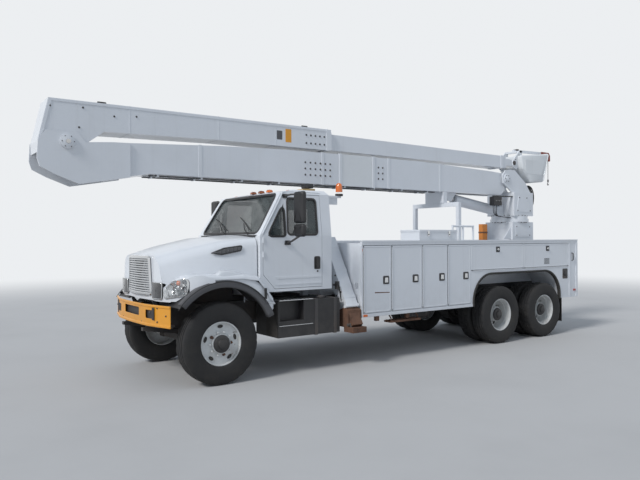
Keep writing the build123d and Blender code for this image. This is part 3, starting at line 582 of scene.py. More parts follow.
def splineLength(places):
    # length of the curve that the places make with order 3
    knots = [0, 0, 0] + [step + 1 for step in range(len(places) - 3)] + [len(places) - 2] * 3

    def at(u):
        total = Vector()
        for index, place in enumerate(places):
            total += Vector(place) * basis(index, 2, u)
        return total

    def basis(index, degree, u):
        if degree == 0:
            last = knots[index + 1] == knots[-1] and knots[index] < knots[index + 1]
            return 1.0 if knots[index] <= u < knots[index + 1] or (last and u == knots[-1]) else 0.0
        first = knots[index + degree] - knots[index]
        second = knots[index + degree + 1] - knots[index + 1]
        rising = (u - knots[index]) / first * basis(index, degree - 1, u) if first else 0
        falling = (knots[index + degree + 1] - u) / second * basis(index + 1, degree - 1, u) if second else 0
        return rising + falling

    line = [at(knots[-1] * step / 200) for step in range(201)]
    return sum((b - a).length for a, b in zip(line, line[1:]))


def layCord(name, body, places, diameter, look, **says):
    cord = makeCord(name, places, diameter, look)
    rideOn(cord, body)
    x, y, z = places[0]
    y + frontAxleY
    splineLength(places)


def makeCords():
    hook = Form("castIron")
    hook.turned([(0, 0.008), (0.012, 0.016), (0.05, 0.018), (0.06, 0.012)], (0, 8.864, 3.264), (0, 0, -1), 16)
    bend = ((8.864, 3.205), (8.864, 3.185), (8.848, 3.172), (8.838, 3.152), (8.848, 3.134), (8.868, 3.132),
            (8.882, 3.146), (8.880, 3.160))
    hook.bar([(0, y, z) for y, z in bend], 0.008, 10)
    hookPiece = hook.piece("rope_hook", "bucket", angle=60)
    layCord("winch_rope", "bucket", [(0, y, z) for y, z in cords["rope"]], cords["ropeDiameter"], "rope",
            far_end="fitting", stiffness="limp", lay="hanging", with_pieces=[hookPiece])
    hoseEnds = {"far_end": "object", "stiffness": "stiff", "lay": "loose"}
    for number, (x, diameter) in enumerate(cords["hoses"], start=1):
        places = [(x, y, z) for y, z in cords["hosePath"]]
        layCord(f"turret_hose_{number}", "turret", places, diameter, "hose", **hoseEnds)
    for number, y in enumerate(cords["valveHoses"], start=1):
        places = [(0.290, y, 2.580), (0.290, y, 2.50), (0.290, y + 0.02, 2.42), (0.288, y + 0.10, 2.372),
                  (0.284, 6.86, 2.358 + number * 0.001), (0.276, 7.00, 2.352), (0.270, 7.150, 2.352)]
        if number > 1:
            # the others run beside the first one below the box, and 4 mm higher
            places = [(x - 0.022 * (number - 1) * share, y, z + 0.004)
                      for (x, y, z), share in zip(places, (0, 0, 0.6, 1, 1, 1, 1))]
        layCord(f"valve_hose_{number}", "turret", places, cords["valveDiameter"], "hose", **hoseEnds)
    print("cords made")


makeCords()


# hood: stations of the bonnet are (y, half width at the foot, side's top, crown's edge, crown's height)
hood = {"stations": ((-0.720, 0.820, (0.690, 1.540), (0.520, 1.700), 1.742),
                     (-0.350, 0.900, (0.800, 1.640), (0.640, 1.800), 1.850),
                     (0.150, 0.950, (0.900, 1.760), (0.780, 1.905), 1.955),
                     (0.640, 0.975, (0.960, 1.840), (0.880, 1.950), 2.000)),
        "foot": 1.105, "wall": 0.018, "wingX": (0.6, 1.215), "wingEdge": 0.06, "cabSide": 1.03,
        "wing": ((-0.690, 1.093, 0), (-0.690, 1.240, 0.15), (-0.420, 1.468, 0.30), (0.300, 1.468, 0.20),
                 (0.560, 1.425, 0.09), (0.680, 1.290, 0.07), (0.825, 1.005, 0), (0.700, 0.985, 0)),
        "arch": (0.020, 0.560, 0.800), "noseCorner": (0.450, -0.690), "haunch": (1.000, -0.540),
        "widest": (1.215, -0.120),
        "lenses": {"inner": ((0.470, 1.140, 0.03), (0.760, 1.140, 0.03), (0.770, 1.350, 0.04), (0.490, 1.350, 0.03)),
                   "outer": ((0.800, 1.150, 0.03), (1.080, 1.200, 0.05), (1.080, 1.420, 0.05), (0.800, 1.370, 0.03))}}


def bonnetSection(station, inset):
    y, footX, side, edge, crown = station
    half = [(footX - inset, hood["foot"])]
    top, rim = Vector(side) - Vector((inset, inset / 2)), Vector(edge) - Vector((inset / 2, inset))
    bulge = Vector(((top.x * 2 + rim.x) / 3 + 0.012, (top.y + rim.y * 2) / 3 + 0.012))
    for step in range(7):
        t = step / 6
        point = top * (1 - t) ** 2 + bulge * 2 * t * (1 - t) + rim * t ** 2
        half.append((point.x, point.y))
    for step in range(1, 5):
        x = rim.x * (1 - step / 5)
        half.append((x, crown - inset - (crown - inset - rim.y) * (x / rim.x) ** 2))
    ring = half + [(0, crown - inset)] + [(-x, z) for x, z in half[::-1]]
    return [(x, y, z) for x, z in ring]


def arcThrough(first, middle, last, steps):
    # places on the circle through three points
    a, b, c = (Vector(point) for point in (first, middle, last))
    d = 2 * (a.x * (b.y - c.y) + b.x * (c.y - a.y) + c.x * (a.y - b.y))
    centre = Vector((((a.dot(a)) * (b.y - c.y) + (b.dot(b)) * (c.y - a.y) + (c.dot(c)) * (a.y - b.y)) / d,
                     ((a.dot(a)) * (c.x - b.x) + (b.dot(b)) * (a.x - c.x) + (c.dot(c)) * (b.x - a.x)) / d))
    start, way, end = (math.atan2(p.y - centre.y, p.x - centre.x) for p in (a, b, c))
    turn = (end - start) % (2 * math.pi)
    if (way - start) % (2 * math.pi) > turn:
        turn -= 2 * math.pi
    radius = (a - centre).length
    return [(centre.x + radius * math.cos(start + turn * step / steps),
             centre.y + radius * math.sin(start + turn * step / steps))
            for step in range(steps + 1)]


def nosePlan(inset):
    # the nose from the middle to the widest place of a wing, seen from above
    cornerX, cornerY = hood["noseCorner"]
    front = arcThrough((-cornerX, cornerY + inset), (0, cornerY - 0.022 + inset), (cornerX, cornerY + inset), 12)[6:]
    haunchX, haunchY = hood["haunch"]
    wide = arcThrough((cornerX, cornerY + inset), (haunchX - 0.7 * inset, haunchY + 0.7 * inset),
                      (hood["widest"][0] - inset, hood["widest"][1]), 14)[1:]
    return front + wide


def between(a, b, t):
    # part of the way from a number to another, or from a row of them to another
    return tuple(p + (q - p) * t for p, q in zip(a, b)) if isinstance(a, tuple) else a + (b - a) * t


def hoodVolume(inset):
    # bonnet and wings, drawn in by an inset
    stations = []
    for first, last in zip(hood["stations"], hood["stations"][1:]):
        for part in range(3):
            stations.append(tuple(between(a, b, part / 3) for a, b in zip(first, last)))
    stations.append(hood["stations"][-1])
    volume = Form("whitePaint").skin([bonnetSection(station, inset) for station in stations]).piece("bonnet", None)
    outline = evenly(rounded(hood["wing"], 6), 0.12)
    for _, side in sides:
        rings = [[(side * hood["wingX"][0], y, z) for y, z in grown(outline, -inset)]]
        for step in range(6):
            turn = math.pi / 2 * step / 5
            drawn = grown(outline, -inset - hood["wingEdge"] * (1 - math.cos(turn)))
            x = hood["wingX"][1] - inset - hood["wingEdge"] * (1 - math.sin(turn))
            # the foot of the wing stays level
            rings.append([(side * x, y, max(z, w - 0.001) if w < 1.12 else z)
                          for (y, z), (_, w) in zip(drawn, outline)])
        wing = Form("whitePaint").skin(rings).piece("wing", None)
        volume = joined(volume, wing, "UNION")
    half = nosePlan(inset)
    rear = half + [(half[-1][0], 0.9)]
    plan = rear + [(-x, y) for x, y in rear[::-1]]
    nose = Form("whitePaint").plan(plan[:-1], (0.85, 2.2)).piece("nose", None)
    volume = joined(volume, nose, "INTERSECT")
    width = hood["cabSide"] - inset
    cabSide = Form("whitePaint").block((-width, width), (0.64, 0.9), (0.9, 1.5)).piece("cab side", None)
    return joined(volume, cabSide, "DIFFERENCE")


def archPlaces(growth, first, swing, steps):
    # (behind the axle, up) along the front wheel's arch, from an angle over a swing
    y, z, radius = hood["arch"]
    turns = [math.radians(first + swing * step / steps) for step in range(steps + 1)]
    return [(y + (radius + growth) * math.cos(turn), z + (radius + growth) * math.sin(turn)) for turn in turns]


def makeHood():
    outer = hoodVolume(0.0)
    whole = outer.copy()
    whole.data = outer.data.copy()
    bpy.context.collection.objects.link(whole)
    cast = caster(outer)
    archY, archZ, archRadius = hood["arch"]
    for _, side in sides:
        wheelArch = Form("whitePaint").turned([(0, archRadius), (0.72, archRadius)], (side * 0.601, archY, archZ),
                                              (side, 0, 0), 72)
        whole = joined(whole, wheelArch.piece("arch", None), "DIFFERENCE")
    shell = joined(whole, hoodVolume(hood["wall"]), "DIFFERENCE")
    below = Form("whitePaint").block((-1.1, 1.1), (-0.6, 0.622), (0.9, 1.115)).piece("below", None)
    shell = joined(shell, below, "DIFFERENCE")
    for _, side in sides:
        for outline in hood["lenses"].values():
            opening = [(side * x, z) for x, z in rounded(outline, 4)]
            opening = Form("whitePaint").front(opening, (-0.85, -0.25)).piece("opening", None)
            shell = joined(shell, opening, "DIFFERENCE")
    shell.name = "hood_shell"
    shell.data.shade_smooth()
    shell.data.set_sharp_from_angle(angle=math.radians(24))
    soften(shell, 0.006, 34, 2)
    rideOn(shell, "hood", ["hood"])
    makeHoodLamps(cast)
    makeHoodTrim(cast)
    bpy.data.objects.remove(outer)
    print("hood made")


def makeHoodLamps(cast):
    # places are cast on the hood from aheadY
    aheadY = -0.9
    lamp = Form("chrome")
    lenses = {"outer": Form("clearLens"), "inner": Form("darkLens")}
    bowls = {"outer": ("chrome", 0.11, 0.004), "inner": ("blackPlastic", 0.06, 0.0055)}
    for _, side in sides:
        for kind, outline in hood["lenses"].items():
            look, depth, rim = bowls[kind]
            edge = evenly([(side * x, aheadY, z) for x, z in rounded(outline, 4)], 0.05)
            face = [cast(place, (0, 1, 0), 0.001) for place in edge]
            middle = sum((Vector(place) for place in face), Vector()) / len(face)
            back = [(middle.x + (x - middle.x) * 0.82, middle.y + depth + 0.5 * (y - middle.y),
                     middle.z + (z - middle.z) * 0.82) for x, y, z in face]
            deep = middle + Vector((0, depth, 0))
            lamp.use(look).skin([face, [(x, y + 0.02, z) for x, y, z in face], back], capped=False)
            lamp.skin([back, [tuple(Vector(place).lerp(deep, 0.97)) for place in back]], capped=False)
            lamp.use("chrome").bar(face, rim, 8, True)
            lenses[kind].patch(cast, [(x, aheadY, z) for x, y, z in face], (0, 1, 0), 0.0015)
        # round reflectors with their bulb caps, and the turn lamp's amber bowl
        for x, z, radius in ((0.885, 1.262, 0.075), (1.000, 1.318, 0.062)):
            y = cast((side * x, aheadY, z), (0, 1, 0), 0)[1]
            bowl = [(0.085, 0.012), (0.078, 0.035), (0.055, 0.058), (0.02, radius), (0.02, radius + 0.006)]
            lamp.use("chrome").turned(bowl, (side * x, y + 0.005, z), (0, 1, 0), 28, capped=False)
            cap = [(0.035, 0.001), (0.036, 0.014), (0.06, 0.016), (0.085, 0.012)]
            lamp.turned(cap, (side * x, y, z), (0, 1, 0), 16, capped=False)
        y = cast((side * 0.93, aheadY, 1.355), (0, 1, 0), 0)[1]
        lamp.use("amberLens").turned([(0.012, 0.002), (0.014, 0.020), (0.024, 0.030), (0.05, 0.032)],
                                     (side * 0.945, y, 1.352), (0, 1, 0), 20)
    lamp.piece("hood_lamp_bowls", "hood")
    lenses["outer"].piece("hood_lamp_lenses", "hood", slot="clear_glass")
    lenses["inner"].piece("hood_corner_lenses", "hood", slot="clear_glass")


def makeHoodTrim(cast):
    # teardrop vents, the soft lip along each arch and the liner inside the wing
    besideX = 1.4
    drop = rounded(((-0.040, 1.725, 0.01), (0.120, 1.700, 0.05), (0.400, 1.752, 0.03), (0.430, 1.835, 0.03),
                    (0.160, 1.800, 0.08)), 5)
    trim = Form("blackPlastic")
    for _, side in sides:
        inwards = (-side, 0, 0)
        for look, outline, lift in (("blackPlastic", drop, 0.004), ("trimGrey", grown(drop, -0.018), 0.007)):
            trim.use(look).patch(cast, [(side * besideX, y, z) for y, z in outline], inwards, lift)
        trim.use("blackPlastic")
        for slat in range(5):
            y = 0.12 + slat * 0.055
            trim.bar([cast((side * besideX, y, 1.722 + slat * 0.007), inwards, 0.009),
                      cast((side * besideX, y + 0.012, 1.79 + slat * 0.008), inwards, 0.009)], 0.004, 6)
        trim.bar([(side * 1.209, y, z) for y, z in archPlaces(0.004, 36, 108, 32)], 0.006, 8)
        trim.skin([[(side * 0.66, y, z), (side * 1.190, y, z), (side * 1.190, y, z + 0.004),
                    (side * 0.66, y, z + 0.004)]
                   for y, z in archPlaces(-0.012, 38, 104, 24)])
    trim.piece("hood_trim", "hood")
    latch = Form("blackPlastic")
    for _, side in sides:
        latch.side(plate((0.600, 0.640), (1.10, 1.25), 0.01), (side * 1.213, side * 1.221))
    latch.piece("hood_latches", "hood", bevel=0.002)


# grille: its corners as (half width, up, rounding), its bars and its crown in plan
grille = {"corners": ((0.450, 1.165, 0.06), (0.400, 1.695, 0.07)), "band": 0.042, "bars": 14,
          "crown": (-0.744, 0.2474),
          "back": -0.690}


# wing flares: (radius, across) from the wheel outwards, over angles from the front round to the rear
flare = {"grey": ((0.722, 1.120), (0.724, 1.188), (0.736, 1.200), (0.800, 1.196), (0.822, 1.180), (0.826, 1.120)),
         "white": ((0.815, 1.120), (0.816, 1.182), (0.870, 1.180), (0.925, 1.164), (0.950, 1.090)),
         "greyTurn": (41, 157), "whiteTurn": (80, 152), "inner": 0.815}


def makeFlares():
    archY, archZ = hood["arch"][:2]
    inner = flare["inner"]
    for name, side in sides:
        form = Form("trimGrey")
        for key, look in (("grey", "trimGrey"), ("white", "whitePaint")):
            first, last = flare[key + "Turn"]
            rows = []
            for step in range(29):
                share = step / 28
                turn = math.radians(first + (last - first) * share)
                taper = min(1, share * 9, (1 - share) * 9) if key == "white" else 1
                row = []
                for out, x in flare[key]:
                    far = inner + (out - inner) * (0.35 + 0.65 * taper) if key == "white" else out
                    row.append((side * x, archY - far * math.cos(turn), archZ + far * math.sin(turn)))
                rows.append(row)
            form.use(look).skin(rows, closed=False, capped=False)
        made = form.piece("wing_flare_" + name, "hood", angle=50)
        solid = made.modifiers.new("wall", "SOLIDIFY")
        solid.thickness = 0.004
    print("flares made")


def makeGrille():
    crownY, bend = grille["crown"]
    low, high = grille["corners"]
    outline = rounded(((-low[0], low[1], low[2]), (low[0], low[1], low[2]), (high[0], high[1], high[2]),
                       (-high[0], high[1], high[2])), 6)
    outline = evenly(outline, 0.09)
    inner = grown(outline, -grille["band"])

    def at(points, depth):
        return [(x, crownY + bend * x * x + depth, z) for x, z in points]

    form = Form("chrome")
    form.skin([[(x, grille["back"], z) for x, z in outline], at(outline, 0.012), at(grown(outline, -0.010), 0.0),
               at(grown(inner, 0.008), 0.0), at(inner, 0.008), at(inner, 0.045)], capped=False)
    foot, top = low[1] + grille["band"], high[1] - grille["band"]
    for bar in range(grille["bars"]):
        z = foot + (bar + 0.5) * (top - foot) / grille["bars"]
        half = 0.405 - 0.035 * (z - foot) / (top - foot)
        rows = []
        for step in range(17):
            x = half * (step / 8 - 1)
            y = crownY + bend * x * x
            rows.append([(x, y + 0.006, z - 0.010), (x, y + 0.004, z), (x, y + 0.010, z + 0.010),
                         (x, y + 0.040, z + 0.014), (x, y + 0.040, z - 0.002)])
        form.use("chrome").skin(rows)
    # painted shade: a black funnel behind the bars fills the grille's opening
    behind = [at(inner, 0.044), at([(x * 0.02, 1.43 + (z - 1.43) * 0.02) for x, z in inner], 0.044)]
    form.use("blackPlastic").skin(behind, capped=False)
    form.piece("grille", "hood", angle=40, replaced=["nose_trim"])
    print("grille made")


# bumper: places in plan, heights and openings (across, up)
bumper = {"z": (0.785, 1.068), "end": (1.035, -0.678), "bend": (0.577, -0.793), "middle": -0.819,
          "openings": (((-0.28, 0.28), (0.900, 1.010)), ((0.49, 0.70), (0.885, 0.995)),
                       ((-0.70, -0.49), (0.885, 0.995)))}


def makeBumper():
    bendX, bendY = bumper["bend"]
    half = arcThrough((-bendX, bendY), (0, bumper["middle"]), (bendX, bendY), 12)[6:] + [bumper["end"]]
    path = [(-x, y) for x, y in half[:0:-1]] + half
    low, high = bumper["z"]
    section = ((0.020, low), (0.004, low), (0, low + 0.006), (0, low + 0.028), (0.009, low + 0.036),
               (0.009, high - 0.036), (0, high - 0.028), (0, high - 0.006), (0.004, high), (0.020, high),
               (0.020, high - 0.010), (0.018, high - 0.040), (0.018, low + 0.040), (0.020, low + 0.010))
    form = Form("bumperYellow").skin([[(x, y + depth, z) for depth, z in section] for x, y in path])
    face = form.piece("bumper_face", None)
    for (x0, x1), (z0, z1) in bumper["openings"]:
        opening = plate((x0, x1), (z0, z1), 0.02, steps=3)
        face = joined(face, Form("bumperYellow").front(opening, (-0.9, -0.6)).piece("opening", None), "DIFFERENCE")
    face.data.shade_smooth()
    face.data.set_sharp_from_angle(angle=math.radians(30))
    soften(face, 0.003, 34, 2)
    rideOn(face, "root", ["bumper"])
    # brackets back to the rails, tow hooks, bolts and a black plate behind the openings as painted shade
    rear = Form("chassisBlack")
    for _, side in sides:
        rear.block((side * 0.345, side * 0.395), (-0.785, -0.55), (0.86, 1.0))
        towHook = ((-0.60, 0.92), (-0.74, 0.93), (-0.765, 0.955), (-0.755, 0.985), (-0.72, 0.99))
        rear.use("castIron").bar([(side * 0.58, y, z) for y, z in towHook], 0.014, 10)
        for x, z in ((0.37, 1.04), (0.37, 0.83), (0.77, 1.03), (0.77, 0.85), (0.95, 0.94)):
            y = bendY + (bumper["end"][1] - bendY) * (x - bendX) / (bumper["end"][0] - bendX) if x > bendX else -0.800
            rear.use("castIron").bolt((side * x, y + 0.010, z), (0, -1, 0), 0.011, 0.011)
        rear.use("chassisBlack")
    # painted shade: a black plate behind the bumper's openings
    rear.plan([(-0.72, -0.765), (0.72, -0.765), (0.72, -0.755), (-0.72, -0.755)], (0.87, 1.03))
    rear.piece("bumper_brackets", "root", bevel=0.002)
    print("bumper made")


makeHood()
makeFlares()
makeGrille()
makeBumper()


# tyres: half of the section as (across, radius), from the bead to the middle of the tread
tyre = {"section": ((0.108, 0.287), (0.120, 0.296), (0.132, 0.312), (0.1405, 0.345), (0.1445, 0.385), (0.1445, 0.425),
                    (0.1415, 0.465), (0.137, 0.495), (0.128, 0.520), (0.117, 0.534), (0.104, 0.5385), (0.082, 0.5415),
                    (0.080, 0.531), (0.069, 0.531), (0.067, 0.5425), (0.036, 0.5438), (0.034, 0.532), (0.022, 0.532),
                    (0.020, 0.544), (0.0, 0.544)),
        "steps": 96, "bead": 0.286, "radius": 0.544, "treadFrom": 0.537, "treadNotch": 0.011, "shoulderFrom": 0.515,
        "shoulderNotch": 0.006}


def addTyre(form, middle, radius, lugs):
    # one tyre; its tread has a notch every fourth step, wider on the drive axles
    side = tyre["section"]
    section = list(side) + [(-u, r) for u, r in side[-2::-1]]
    scale = (radius - tyre["bead"]) / (tyre["radius"] - tyre["bead"])
    x, y, z = middle
    columns = []
    for step in range(tyre["steps"]):
        turn = 2 * math.pi * step / tyre["steps"]
        ring = []
        for u, r in section:
            size = tyre["bead"] + (r - tyre["bead"]) * scale
            if step % 4 == 0:
                # the tread's blocks and, further in, the shoulder's
                if r > tyre["treadFrom"] and abs(u) > (0.03 if lugs else 0.09):
                    size -= tyre["treadNotch"]
                if tyre["shoulderFrom"] < r <= tyre["treadFrom"] and abs(u) > 0.1:
                    size -= tyre["shoulderNotch"]
            ring.append((x + u, y + size * math.cos(turn), z + size * math.sin(turn)))
        columns.append(ring)
    columns.append(columns[0])
    form.skin(columns, closed=False, capped=False)


# wheels: the axles are as high as the tyres' radius; profiles are (along the axle, radius)
wheel = {"frontRadius": 0.544, "rearRadius": 0.522, "rearAxles": (5.588, 6.903), "twins": (-0.165, 0.165),
         "rimEdge": ((-0.012, 0.2755), (-0.002, 0.2765), (0.004, 0.283), (0.003, 0.2925), (-0.006, 0.2935),
                     (-0.012, 0.288)),
         "hub": ((0, 0.118), (0.012, 0.118), (0.014, 0.112), (0.026, 0.108), (0.034, 0.09), (0.036, 0.07),
                 (0.060, 0.062), (0.066, 0.045), (0.067, 0.004))}


def makeWheels():
    wheels = [(f"front_{name}", side, 0.0, wheel["frontRadius"], (0.0,), False) for name, side in sides]
    wheels += [(f"rear_{number}_{name}", side, axleY, wheel["rearRadius"], wheel["twins"], True)
               for number, axleY in enumerate(wheel["rearAxles"], start=1) for name, side in sides]
    for name, side, y, radius, middles, driven in wheels:
        z = radius
        body = "wheel_" + name
        middleX = side * (0.945 if driven else 1.010)
        form = Form("tyreRubber")
        for across in middles:
            addTyre(form, (middleX + across, y, z), radius, driven)
        form.piece("tyre_tread_" + name, body, angle=28, replaced=["tyre_" + name])
        # rim edge, hand holes, hub, studs with nuts and the valve
        trim = Form("wheelWhite")
        edge = middleX + side * (middles[-1] + 0.110)
        trim.turned(wheel["rimEdge"], (edge, y, z), (side, 0, 0), 56, capped=False)
        face = middleX + side * (0.007 if driven else 0.074)
        hub = middleX + side * (0.190 if driven else 0.115)
        # the disc's dished ring with its five hand holes on a raised lip; each hole is closed by a dark
        # rubber-coloured oval as painted shade
        middle = 0.226
        for hole in range(5):
            turn = 2 * math.pi * (hole + 0.25) / 5
            holeY, holeZ = y + middle * math.cos(turn), z + middle * math.sin(turn)
            ring = []
            for step in range(20):
                a = 2 * math.pi * step / 20
                ring.append((middle + 0.024 * math.sin(a), 0.042 * math.cos(a)))
            rows = []
            for grow, lift in ((1.30, 0.0005), (1.12, 0.006), (1.0, 0.004), (0.98, 0.001)):
                row = []
                for r, t in ring:
                    r, t = middle + (r - middle) * grow, t * grow
                    row.append((face + side * lift, y + r * math.cos(turn) - t * math.sin(turn),
                                z + r * math.sin(turn) + t * math.cos(turn)))
                rows.append(row)
            trim.use("wheelWhite").skin(rows, capped=False)
            # painted shade: a flat dark oval fills each hand hole
            holeShade = [(x, holeY + (b - holeY) * 0.05, holeZ + (c - holeZ) * 0.05) for x, b, c in rows[-1]]
            trim.use("flapRubber").skin([rows[-1], holeShade], capped=False)
        trim.use("blackPlastic")
        trim.turned(wheel["hub"], (hub, y, z), (side, 0, 0), 32)
        for place in circle((hub + side * 0.012, y, z), 0.098, 8, offset=0.5):
            trim.bolt(place, (side, 0, 0), 0.009, 0.014)
        for stud, place in enumerate(circle((face, y, z), 0.155, 10)):
            trim.use("wheelWhite" if stud % 4 else "rustySteel").bolt(place, (side, 0, 0), 0.0165, 0.026)
            trim.turned([(0.02, 0.010), (0.040, 0.010), (0.042, 0.007)], place, (side, 0, 0), 8)
        trim.use("castIron").bar([(face, y + 0.19, z + 0.13), (face + side * 0.03, y + 0.20, z + 0.137),
                                  (face + side * 0.07, y + 0.205, z + 0.14)], 0.005, 6)
        trim.piece("wheel_trim_" + name, body, angle=32)
    print("wheels made")


makeWheels()


# cab: window outlines as (behind the axle, up) or (across, up), each corner with its rounding
cab = {"quarter": ((0.790, 1.960, 0.045), (1.080, 1.960, 0.045), (1.080, 2.430, 0.045)),
       "window": ((1.130, 1.985, 0.05), (1.640, 1.985, 0.05), (1.640, 2.500, 0.05), (1.150, 2.500, 0.05)),
       "windscreen": ((-0.880, 2.010, 0.07), (0.880, 2.010, 0.07), (0.830, 2.560, 0.08), (-0.830, 2.560, 0.08)),
       "rearWindow": ((-0.420, 1.960, 0.05), (0.420, 1.960, 0.05), (0.420, 2.400, 0.05), (-0.420, 2.400, 0.05)),
       "slope": 0.62, "roof": 2.640}


def gasket(form, cast, outline, way, width):
    # a rubber band round a window, wide enough to round its corners; it follows the wall beside the glass
    outline = evenly(outline, 0.10)
    beside = grown(outline, width * 0.7)
    rings = []
    for share, lift in ((0.75, 0.0005), (0.6, 0.006), (0.0, 0.008), (-0.25, 0.006), (-0.3, -0.012)):
        ring = []
        for (u, v), (wallU, wallV) in zip(grown(outline, width * share), beside):
            if way[0]:
                surface = cast((-way[0] * 1.5, wallU, wallV), way, 0)
                ring.append((surface[0] - way[0] * lift, u, v))
            else:
                surface = cast((wallU, 0.2 if way[1] > 0 else 2.6, wallV), way, 0)
                slope = cab["slope"] if way[1] > 0 else 0.0
                ring.append((u, surface[1] - way[1] * lift + slope * (v - wallV), v))
        rings.append(ring)
    form.skin(rings, capped=False)


def makeCab():
    shell = caster(frame["nodes"]["cab_shell"])
    seals = Form("blackPlastic")
    gasket(seals, shell, rounded(cab["windscreen"], 5), (0, 1, 0), 0.036)
    gasket(seals, shell, rounded(cab["rearWindow"], 4), (0, -1, 0), 0.034)
    # cowl below the windscreen and wipers
    seals.front(mirrored([(0, 1.945), (0.86, 1.945), (0.90, 1.975), (0, 1.985)]), (0.650, 0.668))

    def screen(x, z, lift):
        # a place in front of the windscreen's plane
        return (x, 0.660 + (z - 1.965) * 0.619 - lift, z)

    for across, lean in ((0.66, -0.50), (-0.04, -0.62)):
        seals.bar([screen(across, 1.985, 0.020), screen(across + lean * 0.30, 2.06, 0.034),
                   screen(across + lean * 0.55, 2.15, 0.030)], 0.008, 8)
        seals.bar([screen(across + lean * 0.10, 2.055, 0.006), screen(across + lean * 0.55, 2.15, 0.004),
                   screen(across + lean * 1.05, 2.245, 0.006)], 0.009, 6)
    seals.piece("windscreen_seals", "root", angle=50)

    for name, side in sides:
        body = "door_" + name
        doorCast = caster(frame["nodes"]["door_" + name])
        seal = Form("blackPlastic")
        for key in ("quarter", "window"):
            gasket(seal, doorCast, rounded(cab[key], 5), (-side, 0, 0), 0.030)
        # door handle in its recess, lock and mouldings
        handle = plate((1.580, 1.690), (1.470, 1.660), 0.02, 0.03)
        seal.side(handle, (side * 0.999, side * 1.0035))
        seal.side(grown(handle, -0.012), (side * 1.003, side * 1.010))
        seal.side(rounded(((1.600, 1.490, 0.02), (1.672, 1.490, 0.02), (1.660, 1.640, 0.02), (1.610, 1.640, 0.02))),
                  (side * 1.010, side * 1.030))
        seal.use("castIron").turned([(0, 0.014), (0.006, 0.013), (0.007, 0.009)], (side * 1.0, 1.640, 1.440),
                                    (side, 0, 0), 16)
        for low, high in ((1.352, 1.380), (1.262, 1.276)):
            moulding = rounded(((0.94, low, 0.008), (1.70, low, 0.008), (1.70, high, 0.008), (0.90, high, 0.008)))
            seal.use("whitePaint").side(moulding, (side * 0.999, side * 1.006))
        seal.piece("door_trim_" + name, body, angle=40)

        # mirror: a tall head over a low one, on two arms
        mirror, middleX = Form("blackPlastic"), 1.31
        head = plate((1.190, 1.430), (2.135, 2.580), 0.035, 0.05, steps=5)
        low = plate((1.190, 1.430), (1.945, 2.122), 0.05, 0.035, steps=5)
        for outline in (head, low):
            height = sum(z for _, z in outline) / len(outline)

            def drawnIn(ring, y):
                return [(side * middleX + (x - side * middleX) * 0.02, y, height) for x, _, _ in ring]

            rows = []
            for y, shrink in ((1.082, 0.045), (1.084, 0.028), (1.094, 0.012), (1.112, 0.002), (1.138, 0.0),
                              (1.148, 0.004), (1.146, 0.014)):
                rows.append([(side * x, y, z) for x, z in grown(outline, -shrink)])
            mirror.use("blackPlastic").skin(rows, capped=False)
            mirror.skin([rows[0], drawnIn(rows[0], 1.082)], capped=False)
            glassEdge = [(x, 1.1462, z) for x, _, z in rows[-1]]
            mirror.use("mirrorGlass").skin([glassEdge, drawnIn(rows[-1], 1.145)], capped=False)
        mirror.use("castIron")
        for radius, arm in ((0.013, ((0.938, 1.110, 2.535), (1.10, 1.108, 2.548), (1.20, 1.115, 2.545))),
                            (0.014, ((1.008, 1.110, 1.862), (1.12, 1.110, 1.885), (middleX, 1.112, 1.955)))):
            mirror.bar([(side * x, y, z) for x, y, z in arm], radius, 10)
        foot = rounded(((1.060, 1.830, 0.015), (1.160, 1.830, 0.015), (1.150, 1.895, 0.015), (1.070, 1.895, 0.015)))
        mirror.use("blackPlastic").side(foot, (side * 0.998, side * 1.022))
        mirror.side(plate((1.070, 1.150), (2.505, 2.560), 0.01), (side * 0.930, side * 0.948))
        mirror.piece("mirror_head_" + name, body, angle=38, replaced=["mirror_" + name])

    # drip rails over the doors
    rail = Form("whitePaint")
    path = ((0.70, 1.990), (0.86, 2.235), (1.03, 2.505), (1.075, 2.585), (1.15, 2.600), (1.45, 2.602), (1.74, 2.600))
    for _, side in sides:
        rail.bar([shell((side * 1.5, y, z), (-side, 0, 0), 0.004) for y, z in path], 0.008, 8)
    rail.piece("cab_rails", "root", angle=40)
    print("cab made")


# lamps on the roof, the beacon on its arm, the work lamp on its block and the tail lamps
lamps = {"markers": (-0.80, -0.25, 0.0, 0.25, 0.80), "beacon": (0.880, 2.140), "workLamp": (0.670, 1.700)}


